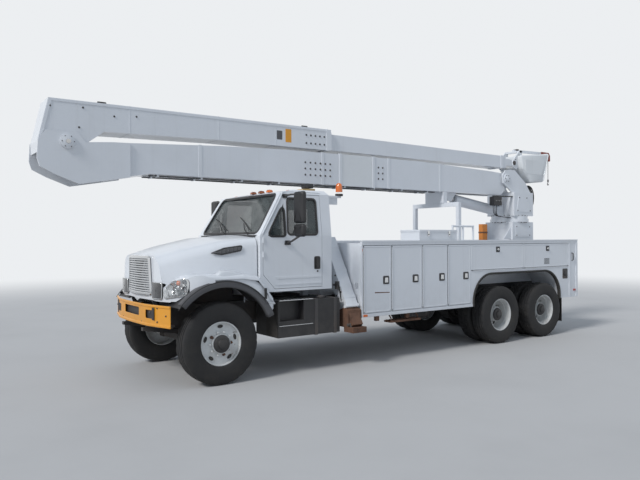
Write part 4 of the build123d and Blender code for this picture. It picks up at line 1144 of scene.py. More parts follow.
def makeLamps():
    roof = cab["roof"]
    form = Form("amberLens")
    for x in lamps["markers"]:
        z = roof - (0.045 if abs(x) > 0.7 else 0.004)  # the roof falls towards its sides
        ring = rounded(((x - 0.05, 1.225, 0.03), (x + 0.05, 1.225, 0.03), (x + 0.045, 1.315, 0.03),
                        (x - 0.045, 1.315, 0.03)), 4)
        form.skin([[(a, b, z + lift) for a, b in grown(ring, -shrink)]
                   for shrink, lift in ((0.0, 0.0), (0.001, 0.022), (0.012, 0.036), (0.028, 0.042))])
    x, y = lamps["beacon"]
    form.use("whitePaint").block((x - 0.025, x + 0.025), (1.90, 2.16), (2.545, 2.575))
    form.block((x - 0.006, x + 0.006), (1.90, 2.10), (2.44, 2.56))
    form.use("blackPlastic").turned([(0, 0.058), (0.02, 0.062), (0.034, 0.058)], (x, y, 2.575), (0, 0, 1), 28)
    dome = [(0.030, 0.052), (0.05, 0.0545), (0.11, 0.052), (0.145, 0.046), (0.163, 0.034), (0.172, 0.016),
            (0.174, 0.002)]
    form.use("amberLens").turned(dome, (x, y, 2.605), (0, 0, 1), 28)
    # work lamp on its wooden block
    x, y = lamps["workLamp"]
    wood = rounded(((y - 0.16, roof, 0.004), (y + 0.07, roof, 0.004), (y + 0.07, roof + 0.040, 0.006),
                    (y - 0.15, roof + 0.030, 0.006)))
    form.use("rustyWood").side(wood, (x - 0.09, x + 0.09))
    head = plate((x - 0.10, x + 0.10), (roof + 0.046, roof + 0.118), 0.02, 0.03)
    form.use("blackPlastic").skin([[(a, y + back, b) for a, b in grown(head, -shrink)]
                                   for back, shrink in ((-0.055, 0.008), (-0.052, 0), (0.030, 0), (0.055, 0.022))])
    form.use("clearLens").skin([[(a, y + back, b) for a, b in grown(head, -shrink)]
                                for back, shrink in ((0.056, 0.026), (0.060, 0.034))])
    # tail lamps on their plates, and a marker on each side
    red = [(0, 0.055), (0.008, 0.054), (0.014, 0.045), (0.016, 0.004)]
    clear = [(0, 0.024), (0.008, 0.022), (0.01, 0.004)]
    for side in (1, -1):
        form.use("blackPlastic").front(plate((side * 1.060, side * 1.200), (1.200, 1.500), 0.02), (8.047, 8.060))
        for look, z, profile, steps in (("redLens", 1.270, red, 24), ("redLens", 1.430, red, 24),
                                        ("clearLens", 1.350, clear, 18)):
            form.use(look).turned(profile, (side * 1.130, 8.059, z), (0, 1, 0), steps)
        marker = rounded(((2.318, 1.760, 0.01), (2.322, 1.700, 0.01), (2.326, 1.76, 0.01)))
        form.use("amberLens").side(marker, (side * 1.2195, side * 1.2205))
    form.piece("roof_and_tail_lamps", "root", bevel=0.0015, replaced=["lamps"])
    print("lamps made")


# interior seen through the glass: seats as (across), and the steering wheel
interior = {"seats": (0.42, -0.42), "floor": 1.210, "wheel": (0.42, 1.040, 1.840), "wheelRadius": 0.215}


def cushion(name, low, high, lean):
    # a crowned cushion drawn in between its corners, with sewn channels
    middle = [(a + b) / 2 for a, b in zip(low, high)]
    half = [(b - a) / 2 for a, b in zip(low, high)]
    columns, rows = 36, 16
    rings = []
    for row in range(rows + 1):
        v = row / rows * 2 - 1
        edge = (1 - abs(v) ** 5) ** 0.35
        ring = []
        for step in range(columns):
            turn = 2 * math.pi * step / columns
            c, s = math.cos(turn), math.sin(turn)
            x = math.copysign(abs(c) ** 0.35, c)
            z = math.copysign(abs(s) ** 0.55, s)
            pull = 1 - 0.035 * (1 - abs(x * v))
            channel = 0.10 if abs((x * 2.5) % 1.0 - 0.5) < 0.06 else 0
            crown = 1 + 0.18 * (1 - x * x) * (1 - v * v) - channel
            ring.append((middle[0] + half[0] * x * pull * edge, middle[1] + half[1] * v,
                         middle[2] + half[2] * z * edge * crown / 1.18))
        rings.append(ring)
    if lean:
        tilt = Matrix.Rotation(lean, 3, "X")
        middle = Vector(middle)
        rings = [[tuple(middle + tilt @ (Vector(place) - middle)) for place in ring] for ring in rings]
    made = Form("seatFabric").skin(rings).piece(name, "root", angle=60)


def makeInterior():
    for name, x in zip(("left", "right"), interior["seats"]):
        cushion("seat_cushion_" + name, (x - 0.25, 1.18, 1.44), (x + 0.25, 1.64, 1.59), 0)
        cushion("seat_back_" + name, (x - 0.235, 1.42, 1.77), (x + 0.235, 2.00, 1.90), math.radians(76))
        base = Form("blackPlastic")
        base.block((x - 0.22, x + 0.22), (1.20, 1.62), (interior["floor"], 1.30))
        # bellows of the sprung seat
        outline = plate((x - 0.2, x + 0.2), (1.22, 1.60), 0)
        for ridge in range(6):
            low = 1.30 + ridge * 0.024
            base.use("trimGrey").skin([[(a, b, low + lift) for a, b in grown(outline, out)]
                                       for out, lift in ((0, 0), (0.012, 0.012), (0, 0.024))])
        base.piece("seat_base_" + name, "root", bevel=0.004)
    dash = Form("trimGrey")
    section = rounded(((0.705, 1.90, 0.02), (0.705, 1.45, 0.02), (0.86, 1.45, 0.03), (0.905, 1.62, 0.05),
                       (0.955, 1.80, 0.05), (0.90, 1.885, 0.04)), 4)
    dash.side(section, (-0.90, 0.90))
    hoodLid = rounded(((0.76, 1.88, 0.02), (0.95, 1.80, 0.03), (0.955, 1.885, 0.04), (0.86, 1.935, 0.04)), 4)
    dash.use("blackPlastic").side(hoodLid, (0.20, 0.64))
    dash.front(plate((0.25, 0.59), (1.70, 1.80), 0.02, 0.03), (0.93, 0.950))
    dash.piece("dash_panel", "root", bevel=0.004, replaced=["cab_interior"])
    x, y, z = interior["wheel"]
    radius = interior["wheelRadius"]
    wheel = Form("blackPlastic")
    up, back = Vector((0, -0.62, 0.785)), Vector((0, 0.785, 0.62))
    middle = Vector((x, y, z))
    across = Vector((1, 0, 0))
    turns = [2 * math.pi * step / 40 for step in range(40)]
    rim = [tuple(middle + across * radius * math.cos(a) + up * radius * math.sin(a)) for a in turns]
    wheel.bar(rim, 0.015, 10, True)
    for a in (0, math.pi, -math.pi / 2):
        out = across * math.cos(a) + up * math.sin(a)
        wheel.bar([tuple(middle - back * 0.03), tuple(middle + out * radius * 0.6 - back * 0.02),
                   tuple(middle + out * radius * 0.98)], 0.013, 8)
    wheel.turned([(-0.03, 0.06), (0.0, 0.055), (0.01, 0.04)], tuple(middle - back * 0.02), tuple(back), 20)
    wheel.bar([tuple(middle - back * 0.03), (x, 0.94, 1.76)], 0.028, 12)
    wheel.bar([(x + 0.02, 0.985, 1.80), (x + 0.19, 0.985, 1.83)], 0.007, 8)
    wheel.piece("steering_wheel", "root", angle=60)
    print("interior made")


makeCab()
makeLamps()
makeInterior()


# side packs: door seams behind the axle, latches as (from, to), and plates for fitted()
body = {"face": 1.220, "seams": (2.330, 2.910, 3.586, 4.187, 4.782), "flat": (4.782, 6.270, 7.739),
        "low": 0.770, "middle": 1.345, "high": 1.815,
        "latches": ((2.735, 2.860), (3.370, 3.500), (3.985, 4.115), (4.580, 4.715)), "flatLatches": (5.515, 7.030),
        "arch": (4.850, 7.420, 0.720, 1.270, 0.480),
        # rails, corner posts and seams
        "rails": (("whitePaint", (2.307, 8.045), (1.822, 1.880), 0.004, 0.006, (1.180, 1.229)),
                  ("whitePaint", (2.307, 8.045), (1.866, 1.886), 0.004, 0.004, (1.170, 1.238)),
                  ("whitePaint", (2.307, 4.845), (0.722, 0.762), 0, 0, (1.220, 1.226)),
                  ("whitePaint", (7.752, 7.800), (0.722, 1.818), 0, 0, (1.220, 1.228)),
                  ("whitePaint", (7.990, 8.045), (0.722, 1.820), 0, 0, (1.220, 1.232)),
                  ("whitePaint", (3.580, 3.592), (0.764, 1.818), 0, 0, (1.216, 1.222)),
                  ("whitePaint", (4.776, 4.788), (0.764, 1.818), 0, 0, (1.216, 1.222))),
        # side lamp, reflector, plate of the filler cap, hold-downs and the hanging step
        "plates": (("amberLens", (2.330, 2.410), (0.726, 0.760), 0.008, 0.008, (1.226, 1.232)),
                   ("redLens", (7.900, 7.975), (0.840, 0.880), 0.008, 0.008, (1.220, 1.230)),
                   ("castIron", (7.53, 7.70), (1.300, 1.100), 0.02, 0.02, (1.220, 1.224)),
                   ("rustySteel", (2.605, 2.675), (0.640, 0.720), 0.01, 0.01, (1.150, 1.196)),
                   ("rustySteel", (3.250, 3.320), (0.640, 0.720), 0.01, 0.01, (1.150, 1.196)),
                   ("rustySteel", (2.910, 3.570), (0.588, 0.618), 0.006, 0.006, (1.04, 1.20)))}


def doorRib(form, side, low, high, bottom, top):
    # pressed border of a folded door skin
    x = side * (body["face"] + 0.0004)
    outer = plate((low, high), (bottom, top), 0.012, steps=3)
    rows = [[(x + side * lift, y, z) for y, z in grown(outer, -inset)]
            for inset, lift in ((0, 0), (0.006, 0.0035), (0.020, 0.0035), (0.026, 0))]
    form.skin(rows, capped=False)


def rivets(form, side, places, profile):
    for y, z in places:
        form.turned(profile, (side * body["face"], y, z), (side, 0, 0), 8)


def makeDoor(name, side, number):
    form = Form("whitePaint")
    face = side * body["face"]
    upright = number < 4
    seams, bottom = (body["seams"], body["low"]) if upright else (body["flat"], body["middle"])
    first = number if upright else number - 4
    low, high = seams[first] + 0.008, seams[first + 1] - 0.008
    bottom, top = bottom + 0.006, body["high"] - 0.006
    doorRib(form, side, low + 0.004, high - 0.004, bottom + 0.004, top - 0.004)
    if upright:
        # recessed paddle latch with its folding handle and lock
        first, last = body["latches"][number]
        middle = (first + last) / 2
        fitted(form, side, (("castIron", (first, last), (1.205, 1.335), 0.018, 0.018, (1.220, 1.224)),
                            ("blackPlastic", (first + 0.014, last - 0.014), (1.219, 1.321), 0.01, 0.01,
                             (1.2235, 1.225))))
        paddle = rounded(((middle - 0.036, 1.232, 0.008), (middle + 0.036, 1.232, 0.008),
                          (middle + 0.030, 1.308, 0.008), (middle - 0.030, 1.308, 0.008)))
        form.use("chrome").side(paddle, (face + side * 0.005, face + side * 0.013))
        form.turned([(0.012, 0.009), (0.017, 0.008), (0.018, 0.002)], (face, middle, 1.245), (side, 0, 0), 12)
        corners = [(y, z) for z in (1.213, 1.327) for y in (first + 0.008, last - 0.008)]
        rivets(form, side, corners, [(0.003, 0.004), (0.006, 0.003)])
        hinge = [(face + side * 0.003, low + 0.001, z) for z in (bottom, top)]
    else:
        middle = body["flatLatches"][first]
        fitted(form, side,
               (("castIron", (middle - 0.052, middle + 0.052), (1.663, 1.765), 0.012, 0.012, (1.220, 1.224)),))
        form.use("chrome").turned([(0.003, 0.024), (0.014, 0.022), (0.020, 0.014)], (face, middle, 1.714),
                                  (side, 0, 0), 18)
        form.bar([(face + side * out, middle + along, 1.714) for out,
                  along in ((0.020, -0.045), (0.024, 0), (0.020, 0.045))],
                 0.0065, 8)
        hinge = [(face + side * 0.003, y, bottom + 0.001) for y in (low, high)]
    form.use("castIron").bar(hinge, 0.0055, 8)
    start, end = (Vector(place) for place in hinge)
    offset = Vector((0, 0.019, 0)) if upright else Vector((0, 0, 0.019))
    count = int((end - start).length / 0.11)
    pins = [start.lerp(end, (step + 0.5) / count) + offset for step in range(count)]
    rivets(form, side, [(pin.y, pin.z) for pin in pins], [(0, 0.0045), (0.0025, 0.0035)])
    if number == 5:
        # louvred vent; black strips under its white slats are painted shade in the gaps
        for step in range(6):
            z = 1.413 + step * 0.020
            fitted(form, side, (("blackPlastic", (6.915, 7.085), (z, z + 0.013), 0, 0, (1.220, 1.2212)),
                                ("whitePaint", (6.915, 7.085), (z + 0.010, z + 0.017), 0, 0, (1.220, 1.227))))
    if number == 0:
        streak = rounded(((2.56, 1.075, 0.006), (2.88, 1.066, 0.006), (2.89, 1.078, 0.006), (2.57, 1.092, 0.006)))
        form.use("rustySteel").side(streak, (face, face + side * 0.0006))
    form.piece(f"door_fittings_{name}_{number + 1}", f"locker_{name}_{number + 1}", angle=40)


def archEdge(form, side):
    # black rubber edge over the rear wheels
    first, last, foot, top, corner = body["arch"]
    turns = [math.pi / 2 * step / 10 for step in range(11)]
    edge = [(first, foot)] + [(first + corner * (1 - math.cos(a)), top - corner * (1 - math.sin(a))) for a in turns]
    edge += [(last - corner * (1 - math.sin(a)), top - corner * (1 - math.cos(a))) for a in turns] + [(last, foot)]
    rows = []
    for across, rise in ((1.180, 0.004), (1.230, 0.004), (1.238, 0.010), (1.238, 0.036), (1.221, 0.042)):
        row = []
        for index, (y, z) in enumerate(edge):
            before, after = edge[max(index - 1, 0)], edge[min(index + 1, len(edge) - 1)]
            along = Vector((after[0] - before[0], after[1] - before[1])).normalized()
            row.append((side * across, y - along.y * (rise - 0.012), z + along.x * (rise - 0.012)))
        rows.append(row)
    form.use("flapRubber").skin(rows, closed=False, capped=False)


def makePack(name, side):
    face = side * body["face"]
    fixed = Form("whitePaint")
    fitted(fixed, side, body["rails"])
    rivets(fixed, side, [(2.36 + step * 0.136, 0.742) for step in range(19)], [(0.005, 0.006), (0.008, 0.0045)])
    rivets(fixed, side, [(2.40 + step * 0.15, 1.846) for step in range(38)], [(0.009, 0.006), (0.012, 0.0045)])
    archEdge(fixed, side)
    fitted(fixed, side, body["plates"])
    # treads and hangers of the step
    for step in range(11):
        fixed.block((side * 1.05, side * 1.19), (2.945 + step * 0.058, 2.965 + step * 0.058), (0.618, 0.624))
    for y in (2.95, 3.53):
        fixed.bar([(side * 1.10, y, 0.725), (side * 1.16, y, 0.655), (side * 1.175, y, 0.612)], 0.011, 8)
    # filler cap and grab handle behind the wheels
    fixed.use("blackPlastic").turned([(0.004, 0.052), (0.014, 0.052), (0.020, 0.040), (0.024, 0.014)],
                                     (face, 7.615, 1.200), (side, 0, 0), 24)
    fixed.use("castIron").bar([(face + side * out, 7.86, z) for out,
                               z in ((0, 1.46), (0.03, 1.47), (0.03, 1.60), (0, 1.61))],
                              0.011, 10)
    # front wall of the pack with its latch, and the mudflap with its hanger
    for look, x, z, low, high, y in (("whitePaint", (1.02, 1.205), (1.060, 1.815), 0.01, 0.01, (2.297, 2.305)),
                                     ("chrome", (1.085, 1.145), (1.160, 1.245), 0.01, 0.01, (2.286, 2.297)),
                                     ("flapRubber", (0.66, 1.16), (0.236, 0.720), 0.02, 0.01, (7.462, 7.474))):
        fixed.use(look).front(plate((side * x[0], side * x[1]), z, low, high), y)
    fixed.use("castIron").bar([(side * 0.62, 7.470, 0.735), (side * 1.16, 7.470, 0.735)], 0.014, 8)
    fixed.piece("pack_fittings_" + name, "root", angle=40)


def makeBody():
    for name, side in sides:
        for number in range(6):
            makeDoor(name, side, number)
        makePack(name, side)
    rear = Form("whitePaint")
    for x in (-0.86, 0.86):
        rear.use("whitePaint").front(plate((x - 0.21, x + 0.21), (0.78, 1.79), 0.02), (8.047, 8.056))
        rear.use("chrome").turned([(0, 0.032), (0.012, 0.030), (0.018, 0.012)],
                                  (x - math.copysign(0.15, x), 8.056, 1.29), (0, 1, 0), 18)
    for x in (-0.30, 0.0, 0.30):
        rear.use("redLens").front(plate((x - 0.05, x + 0.05), (0.92, 0.955), 0.012), (8.040, 8.058))
    rear.piece("rear_panels", "root", bevel=0.0015)
    print("body made")


# on the deck: the chest as (front, rear, top) and the slew ring's middle; pins of the booms as (behind the axle, up)
deck = {"chest": (3.60, 4.50, 2.05), "slewY": 7.45}
lowerPin, elbowPin = (7.0, 3.16), (-1.70, 3.16)


def makeDeck():
    form = Form("whitePaint")
    low, high, top = deck["chest"]
    form.plan(plate((0.690, 1.160), (low - 0.010, high + 0.010), 0.02), (top - 0.020, top + 0.012))
    for y in (low + 0.20, high - 0.20):
        form.use("chrome").side(plate((y - 0.02, y + 0.02), (1.955, 2.045), 0.006), (1.150, 1.168))
        form.use("castIron").bar([(1.168, y - 0.012, 1.99), (1.176, y, 1.975), (1.168, y + 0.012, 1.99)], 0.004, 6)
    # wooden post with its strap, standing on the load floor
    form.use("orangePad").block((0.26, 0.36), (6.14, 6.28), (1.268, 2.20))
    form.use("rustySteel").block((0.255, 0.365), (6.135, 6.285), (2.02, 2.05))
    form.piece("deck_fittings", "root", bevel=0.003)

    # bolts, covers and webs of the pedestal
    foot = Form("whitePaint")
    for side in (-1, 1):
        fitted(foot, side, (("whitePaint", (7.20, 7.70), (1.95, 2.19), 0.03, 0.03, (0.350, 0.357)),))
        bolted(foot, side, 0.357, [(y, z) for y in (7.23, 7.67) for z in (1.98, 2.16)], 0.009)
    for place in circle((0, deck["slewY"], 2.260), 0.378, 28, "z"):
        foot.bolt(place, (0, 0, -1), 0.011, 0.016)
    for side in (-1, 1):
        foot.use("whitePaint").side(((6.86, 1.90), (7.10, 1.90), (7.10, 2.18)), (side * 0.30, side * 0.315))
    foot.piece("pedestal_fittings", "root", angle=35)

    # turret: bolts of the slew ring, covers of the plates and of the boom's pin, slew motor and valve box
    form = Form("whitePaint")
    form.use("castIron")
    for place in circle((0, deck["slewY"], 2.391), 0.372, 24, "z", 0.5):
        form.bolt(place, (0, 0, 1), 0.011, 0.015)
    cover = rounded(((7.24, 2.47, 0.03), (7.72, 2.47, 0.03), (7.60, 2.80, 0.03), (7.30, 2.80, 0.03)))
    cap = [(0, 0.095), (0.014, 0.095), (0.020, 0.080), (0.020, 0.050), (0.032, 0.046), (0.036, 0.030)]
    for side in (-1, 1):
        form.use("whitePaint").side(cover, (side * 0.350, side * 0.358))
        bolted(form, side, 0.358, ((7.27, 2.50), (7.69, 2.50), (7.33, 2.77), (7.575, 2.77)), 0.010)
        form.use("whitePaint").turned(cap, (side * 0.290, *lowerPin), (side, 0, 0), 32)
        form.use("castIron")
        for place in circle((side * 0.310, *lowerPin), 0.066, 6):
            form.bolt(place, (side, 0, 0), 0.008, 0.008)
    form.turned([(0, 0.085), (0.17, 0.085), (0.18, 0.07), (0.19, 0.07), (0.29, 0.062), (0.30, 0.04)],
                (0.20, 7.72, 2.40), (0, 0, 1), 24)
    form.use("blackPlastic").side(plate((6.51, 6.76), (2.590, 2.765), 0.015), (0.235, 0.345))
    form.side(((6.56, 2.765), (7.17, 2.780), (7.17, 2.800), (6.56, 2.790)), (0.262, 0.318))
    for step in range(4):
        y = 6.545 + step * 0.055
        form.use("pistonSteel").turned([(0, 0.009), (0.03, 0.009), (0.034, 0.005)], (0.345, y, 2.68), (1, 0, 0), 10)
        form.use("castIron").turned([(0, 0.012), (0.012, 0.012)], (0.29, y + 0.005, 2.590), (0, 0, -1), 6)
    form.piece("turret_fittings", "turret", angle=35)
    print("deck made")


# front outriggers: the way that a leg box slopes, its front wall, and its collars as
# (place along it, length, half width, front, rear)
outrigger = {"slope": Vector((0.585, 0, -1.055)).normalized(), "front": 2.050,
             "collars": ((0.16, 0.035, 0.099, 2.046, 2.274), (0.56, 0.035, 0.099, 2.046, 2.274),
                         (1.02, 0.035, 0.099, 2.046, 2.274), (1.16, 0.04, 0.108, 2.038, 2.282))}


def makeOutriggers():
    slope = outrigger["slope"]
    out = Vector((-slope.z, 0, slope.x))
    base = Vector((0.520, 0, 1.900))
    for name, side in sides:
        def at(along, across, y):
            # a place on the sloping leg box, from its top
            place = base + slope * along + out * across
            return (side * place.x, y, place.z)

        # collars round the box, bolts on its front
        form = Form("whitePaint")
        for start, length, half, front, rear in outrigger["collars"]:
            section = ((-half, front), (half, front), (half, rear), (-half, rear))
            form.skin([[at(along, across, y) for across, y in section] for along in (start, start + length)])
        form.use("castIron")
        for along in (0.66, 0.94):
            for across in (-0.065, 0.065):
                form.bolt(at(along, across, outrigger["front"]), (0, -1, 0), 0.011, 0.012)
        # valve with its hose, and a lamp
        form.block((side * 0.95, side * 1.00), (2.000, 2.050), (1.15, 1.27))
        form.use("blackPlastic").turned([(0, 0.014), (0.05, 0.014)], (side * 0.975, 2.000, 1.22), (0, -1, 0), 12)
        form.bar([(side * 0.975, 2.000, 1.24), (side * 1.03, 1.985, 1.245), (side * 1.05, 2.01, 1.18),
                  (side * 1.035, 2.035, 1.06), (side * 1.05, 2.045, 0.98)], 0.009, 8)
        form.use("clearLens").front(plate((side * 0.875, side * 0.965), (0.900, 0.935), 0.01), (2.036, 2.050))
        form.piece("outrigger_fittings_" + name, "root", bevel=0.003)
        # rusty leg box and foot with its two lugs and their pin
        leg = Form("rustySteel")
        corners = ((0.972, 0.590), (1.236, 0.590), (1.215, 0.850), (1.120, 0.880), (0.985, 0.830))
        leg.front([(side * x, z) for x, z in corners], (2.026, 2.294))
        leg.block((side * 1.130, side * 1.352), (2.034, 2.286), (0.518, 0.532))
        leg.use("castIron")
        for y in (2.06, 2.26):
            leg.front([(side * x, z) for x, z in ((1.17, 0.532), (1.31, 0.532), (1.25, 0.66), (1.20, 0.66))],
                      (y - 0.008, y + 0.008))
        leg.turned([(-0.14, 0.022), (0.14, 0.022)], (side * 1.225, 2.16, 0.630), (0, 1, 0), 16)
        leg.piece("outrigger_foot_" + name, "outrigger_" + name, bevel=0.006)
    print("outriggers made")


makeBody()
makeDeck()
makeOutriggers()


# booms: ends of the insulating part and of the collar, and half widths
boom = {"insert": (2.70, 3.38), "lowerHalf": 0.225, "upperHalf": 0.215, "beamHalf": 0.165, "collar": (2.395, 2.492)}


def bandRound(form, cast, half, low, high, grow):
    rows = []
    for y in (low, high):
        top = cast((0, y, 5.0), (0, 0, -1), 0)[2] + grow
        bottom = cast((0, y, 1.0), (0, 0, 1), 0)[2] - grow
        rows.append([(-half - grow, y, bottom), (half + grow, y, bottom), (half + grow, y, top),
                     (-half - grow, y, top)])
    form.skin(rows)


def pinCap(form, side, across, pin, profile, steps):
    return form.turned(profile, (side * across, *pin), (side, 0, 0), steps)


def makeBooms():
    cast = caster(frame["nodes"]["lower_boom"])
    half = boom["lowerHalf"]
    form = Form("whitePaint")
    low, high = boom["insert"]
    bandRound(form.use("fibreglass"), cast, half, low, high, 0.004)
    form.use("whitePaint")
    for start, grow in ((low - 0.05, 0.012), (high, 0.012), (low - 0.42, 0.006), (high + 0.36, 0.006), (0.10, 0.006),
                        (5.05, 0.006)):
        bandRound(form, cast, half, start, start + 0.05, grow)
    for side in (1, -1):
        bolted(form, side, half, [(1.96 + step * 0.10, z) for step in range(6) for z in (2.955, 3.055, 3.155)], 0.012)
        bolted(form, side, half, [(y, z) for y in (3.52, 3.62) for z in (2.97, 3.07, 3.17)], 0.012)
        # cover of the pin at the turret
        pinCap(form.use("whitePaint"), side, 0.230, lowerPin, [(0, 0.13), (0.010, 0.13), (0.012, 0.12)], 32)

        # hydraulic lines in clips below the boom
        def underside(y):
            return cast((side * 0.12, y, 1.0), (0, 0, 1), 0)[2]

        form.use("trimGrey")
        for across in (0.10, 0.128, 0.156):
            form.bar([(side * across, y, underside(y) - 0.014) for y in (-0.6, 0.8, 2.2, 3.6, 5.0)], 0.008, 8)
        form.use("whitePaint")
        for step in range(9):
            y = -0.5 + step * 0.66
            form.block((side * 0.082, side * 0.174), (y, y + 0.028), (underside(y) - 0.028, underside(y)))
    form.piece("lower_boom_fittings", "lower_boom", angle=35)

    cast = caster(frame["nodes"]["upper_boom"])
    half = boom["upperHalf"]
    form = Form("whitePaint")
    for start, end, width, grow in ((*boom["collar"], half, 0.010), (-0.9, -0.888, half, 0.003),
                                    (0.42, 0.432, half, 0.003), (1.40, 1.412, half, 0.003),
                                    (6.96, 7.04, boom["beamHalf"], 0.010)):
        bandRound(form, cast, width, start, end, grow)
    for side in (1, -1):
        bolted(form, side, half, [(1.99 + step * 0.09, z) for step in range(5) for z in (3.47, 3.60)], 0.012)
        bolted(form, side, half, ((-1.90, 3.60), (-1.97, 3.20), (-1.50, 3.62), (-1.10, 3.55), (-0.80, 3.58),
                                  (-1.55, 3.36)), 0.010)
        # strips on the front edge and along the top, and blank plates
        form.use("whitePaint").side([(-2.044, 3.155), (-2.006, 3.155), (-1.882, 3.672), (-1.914, 3.694)],
                                    (side * 0.2155, side * 0.223))
        form.side([(-1.882, 3.664), (2.39, 3.690), (2.39, 3.712), (-1.90, 3.694)], (side * 0.2155, side * 0.221))
        fitted(form, side, (("bumperYellow", (1.59, 1.70), (3.45, 3.66), 0.01, 0.01, (half, 0.2162)),
                            ("trimGrey", (1.43, 1.53), (3.48, 3.62), 0.01, 0.01, (half, 0.2162))))
    # eyes on top
    form.use("castIron")
    for y in (-1.2, 2.1):
        z = cast((0, y, 5.0), (0, 0, -1), 0)[2]
        form.bar([(0, y + along, z + rise) for along, rise in ((-0.07, 0), (-0.05, 0.055), (0.05, 0.055), (0.07, 0))],
                 0.012, 8)
    form.piece("upper_boom_fittings", "upper_boom", angle=35)

    form = Form("whitePaint")
    for side in (1, -1):
        form.use("whitePaint")
        for radius, height in ((0.088, 0.006), (0.062, 0.012)):
            pinCap(form, side, 0.280, elbowPin, [(0, radius), (height, radius), (height + 0.002, radius - 0.006)], 36)
        form.use("castIron")
        for place in circle((side * 0.286, *elbowPin), 0.074, 6):
            form.bolt(place, (side, 0, 0), 0.007, 0.007)
        pinCap(form.use("pistonSteel"), side, 0.292, elbowPin, [(0, 0.030), (0.010, 0.028), (0.012, 0.004)], 20)
    form.piece("elbow_fittings", "elbow", angle=35)
    print("booms made")


# bucket: outside and inside as (behind the axle, up), its mouth to the rear
bucket = {"half": 0.305, "outside": ((7.480, 3.680), (7.519, 3.400), (7.790, 3.110), (8.240, 3.160), (8.440, 3.780)),
          "inside": ((7.496, 3.668), (7.533, 3.408), (7.798, 3.124), (8.300, 3.178), (8.500, 3.768)), "wall": 0.010,
          "plate": ((7.330, 3.480), (7.330, 3.560), (7.560, 3.800), (7.640, 3.800), (7.640, 3.697), (7.480, 3.680),
                    (7.500, 3.440), (7.440, 3.380), (7.360, 3.420))}


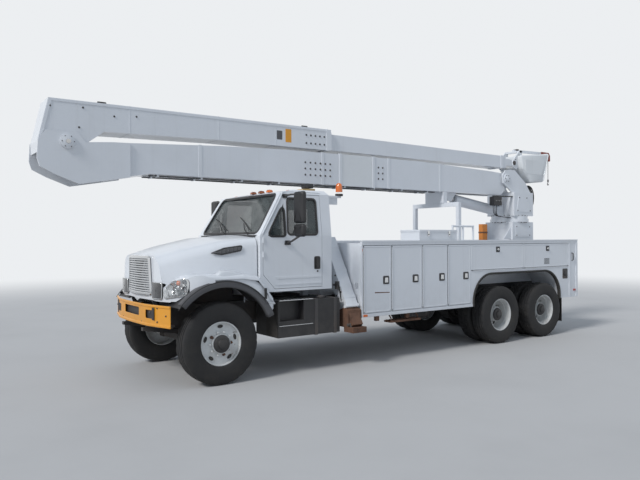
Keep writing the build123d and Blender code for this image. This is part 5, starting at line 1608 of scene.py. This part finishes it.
def makeBucket():
    half, wall = bucket["half"], bucket["wall"]
    whole = Form("fibreglass").side(bucket["outside"], (-half, half))
    hollow = Form("fibreglass").side(bucket["inside"], (wall - half, half - wall))
    shell = joined(whole.piece("bucket_shell", None, bevel=0.035, segments=4),
                   hollow.piece("inside", None, bevel=0.030, segments=4), "DIFFERENCE")
    shell.data.set_sharp_from_angle(angle=math.radians(35))
    rideOn(shell, "bucket", ["bucket"])
    lip = Form("fibreglass")
    # the rolled lip runs in the plane of the mouth
    foot, head = (Vector((0, *place)) for place in bucket["outside"][3:])
    height = 0.652
    ring = []
    for x, rise in plate((-half, half), (0.0, height), 0.06, steps=5):
        place = foot.lerp(head, rise / height)
        ring.append((x, place.y - 0.006, place.z))
    lip.bar(ring, 0.011, 8, True)
    for side in (1, -1):
        lip.side([(7.62, 3.30), (8.16, 3.30), (8.30, 3.62), (7.60, 3.60)], (side * half, side * 0.309))
    lip.piece("bucket_lip", "bucket", angle=50)

    mount = Form("whitePaint")
    tipPin, sheave = (7.37, 3.52), (8.812, 3.760)
    for side in (1, -1):
        mount.use("whitePaint").side(rounded([(y, z, 0.02) for y, z in bucket["plate"]], 3),
                                     (side * 0.168, side * 0.195))
        pinCap(mount.use("castIron"), side, 0.195, tipPin, [(0, 0.045), (0.012, 0.045), (0.016, 0.032)], 24)
        bolted(mount, side, 0.195, ((7.53, 3.70), (7.60, 3.76), (7.42, 3.60)), 0.009)
    pinCap(mount.use("pistonSteel"), 1, 0, tipPin, [(-0.195, 0.028), (0.195, 0.028)], 24)
    mount.use("whitePaint").block((-0.195, 0.195), (7.56, 7.64), (3.76, 3.80))
    # jib tube, its clamp, and its red-brown head with the sheave
    mount.side([(7.60, 3.785), (8.66, 3.808), (8.66, 3.862), (7.60, 3.840)], (-0.030, 0.030))
    mount.use("castIron").block((-0.045, 0.045), (7.66, 7.74), (3.775, 3.856))
    cheek = rounded(((8.56, 3.790, 0.01), (8.80, 3.730, 0.03), (8.835, 3.665, 0.02), (8.892, 3.675, 0.02),
                     (8.890, 3.80, 0.04), (8.84, 3.866, 0.04), (8.56, 3.868, 0.01)), 3)
    mount.use("jibRed")
    for side in (1, -1):
        mount.side(cheek, (side * 0.018, side * 0.040))
    mount.block((-0.018, 0.018), (8.56, 8.74), (3.800, 3.858))
    wheel = [(-0.014, 0.050), (-0.006, 0.042), (0.006, 0.042), (0.014, 0.050)]
    pinCap(mount.use("castIron"), 1, 0, sheave, wheel, 24)
    pinCap(mount, 1, 0, sheave, [(-0.048, 0.011), (0.048, 0.011)], 12)
    mount.piece("mount_plates", "bucket", bevel=0.003, replaced=["bucket_mount"])
    print("bucket made")


# below the body: air tanks, silencer, brake chambers, tank straps and step treads
def makeUnderbody():
    form = Form("chassisBlack")
    backwards = (0, 1, 0)
    for x, y, long, radius in ((-0.58, 3.75, 0.85, 0.100), (0.58, 3.75, 0.62, 0.095)):
        end = ((0, radius * 0.5), (0.02, radius * 0.85), (0.05, radius))
        tank = [*end, *((long - along, size) for along, size in end[::-1])]
        form.use("chassisBlack").turned(tank, (x, y, 0.600), backwards, 28)
        for share in (0.2, 0.75):
            form.use("castIron").turned([(0, radius + 0.004), (0.03, radius + 0.004)], (x, y + long * share, 0.600),
                                        backwards, 28)
    form.use("rustySteel").turned([(0, 0.05), (0.01, 0.10), (0.85, 0.10), (0.86, 0.05)], (-0.62, 2.48, 0.595),
                                  backwards, 28)
    chamber = [(0, 0.078), (0.05, 0.082), (0.055, 0.088), (0.065, 0.088), (0.07, 0.080), (0.16, 0.074), (0.17, 0.03)]
    for _, side in sides:
        form.use("castIron")
        for y in wheel["rearAxles"]:
            form.turned(chamber, (side * 0.66, y - 0.10, 0.640), (0, -1, 0), 24)
        # straps and treads on the step boxes
        fitted(form, side, (("castIron", (1.50, 1.55), (0.522, 1.046), 0, 0, (0.52, 1.136)),
                            ("castIron", (1.84, 1.89), (0.522, 1.046), 0, 0, (0.52, 1.136))))
        form.use("chrome")
        for z in (0.690, 1.046):
            form.block((side * 0.95, side * 1.138), (0.885, 1.46), (z, z + 0.010))
            for step in range(9):
                y = 0.905 + step * 0.062
                form.block((side * 0.96, side * 1.130), (y, y + 0.016), (z + 0.010, z + 0.016))
        form.use("castIron").turned([(0, 0.055), (0.03, 0.055), (0.036, 0.045)], (side * 1.00, 1.70, 1.045),
                                    (0, 0, 1), 24)
    form.piece("underbody_fittings", "root", bevel=0.002)
    print("underbody made")


makeBooms()
makeBucket()
makeUnderbody()
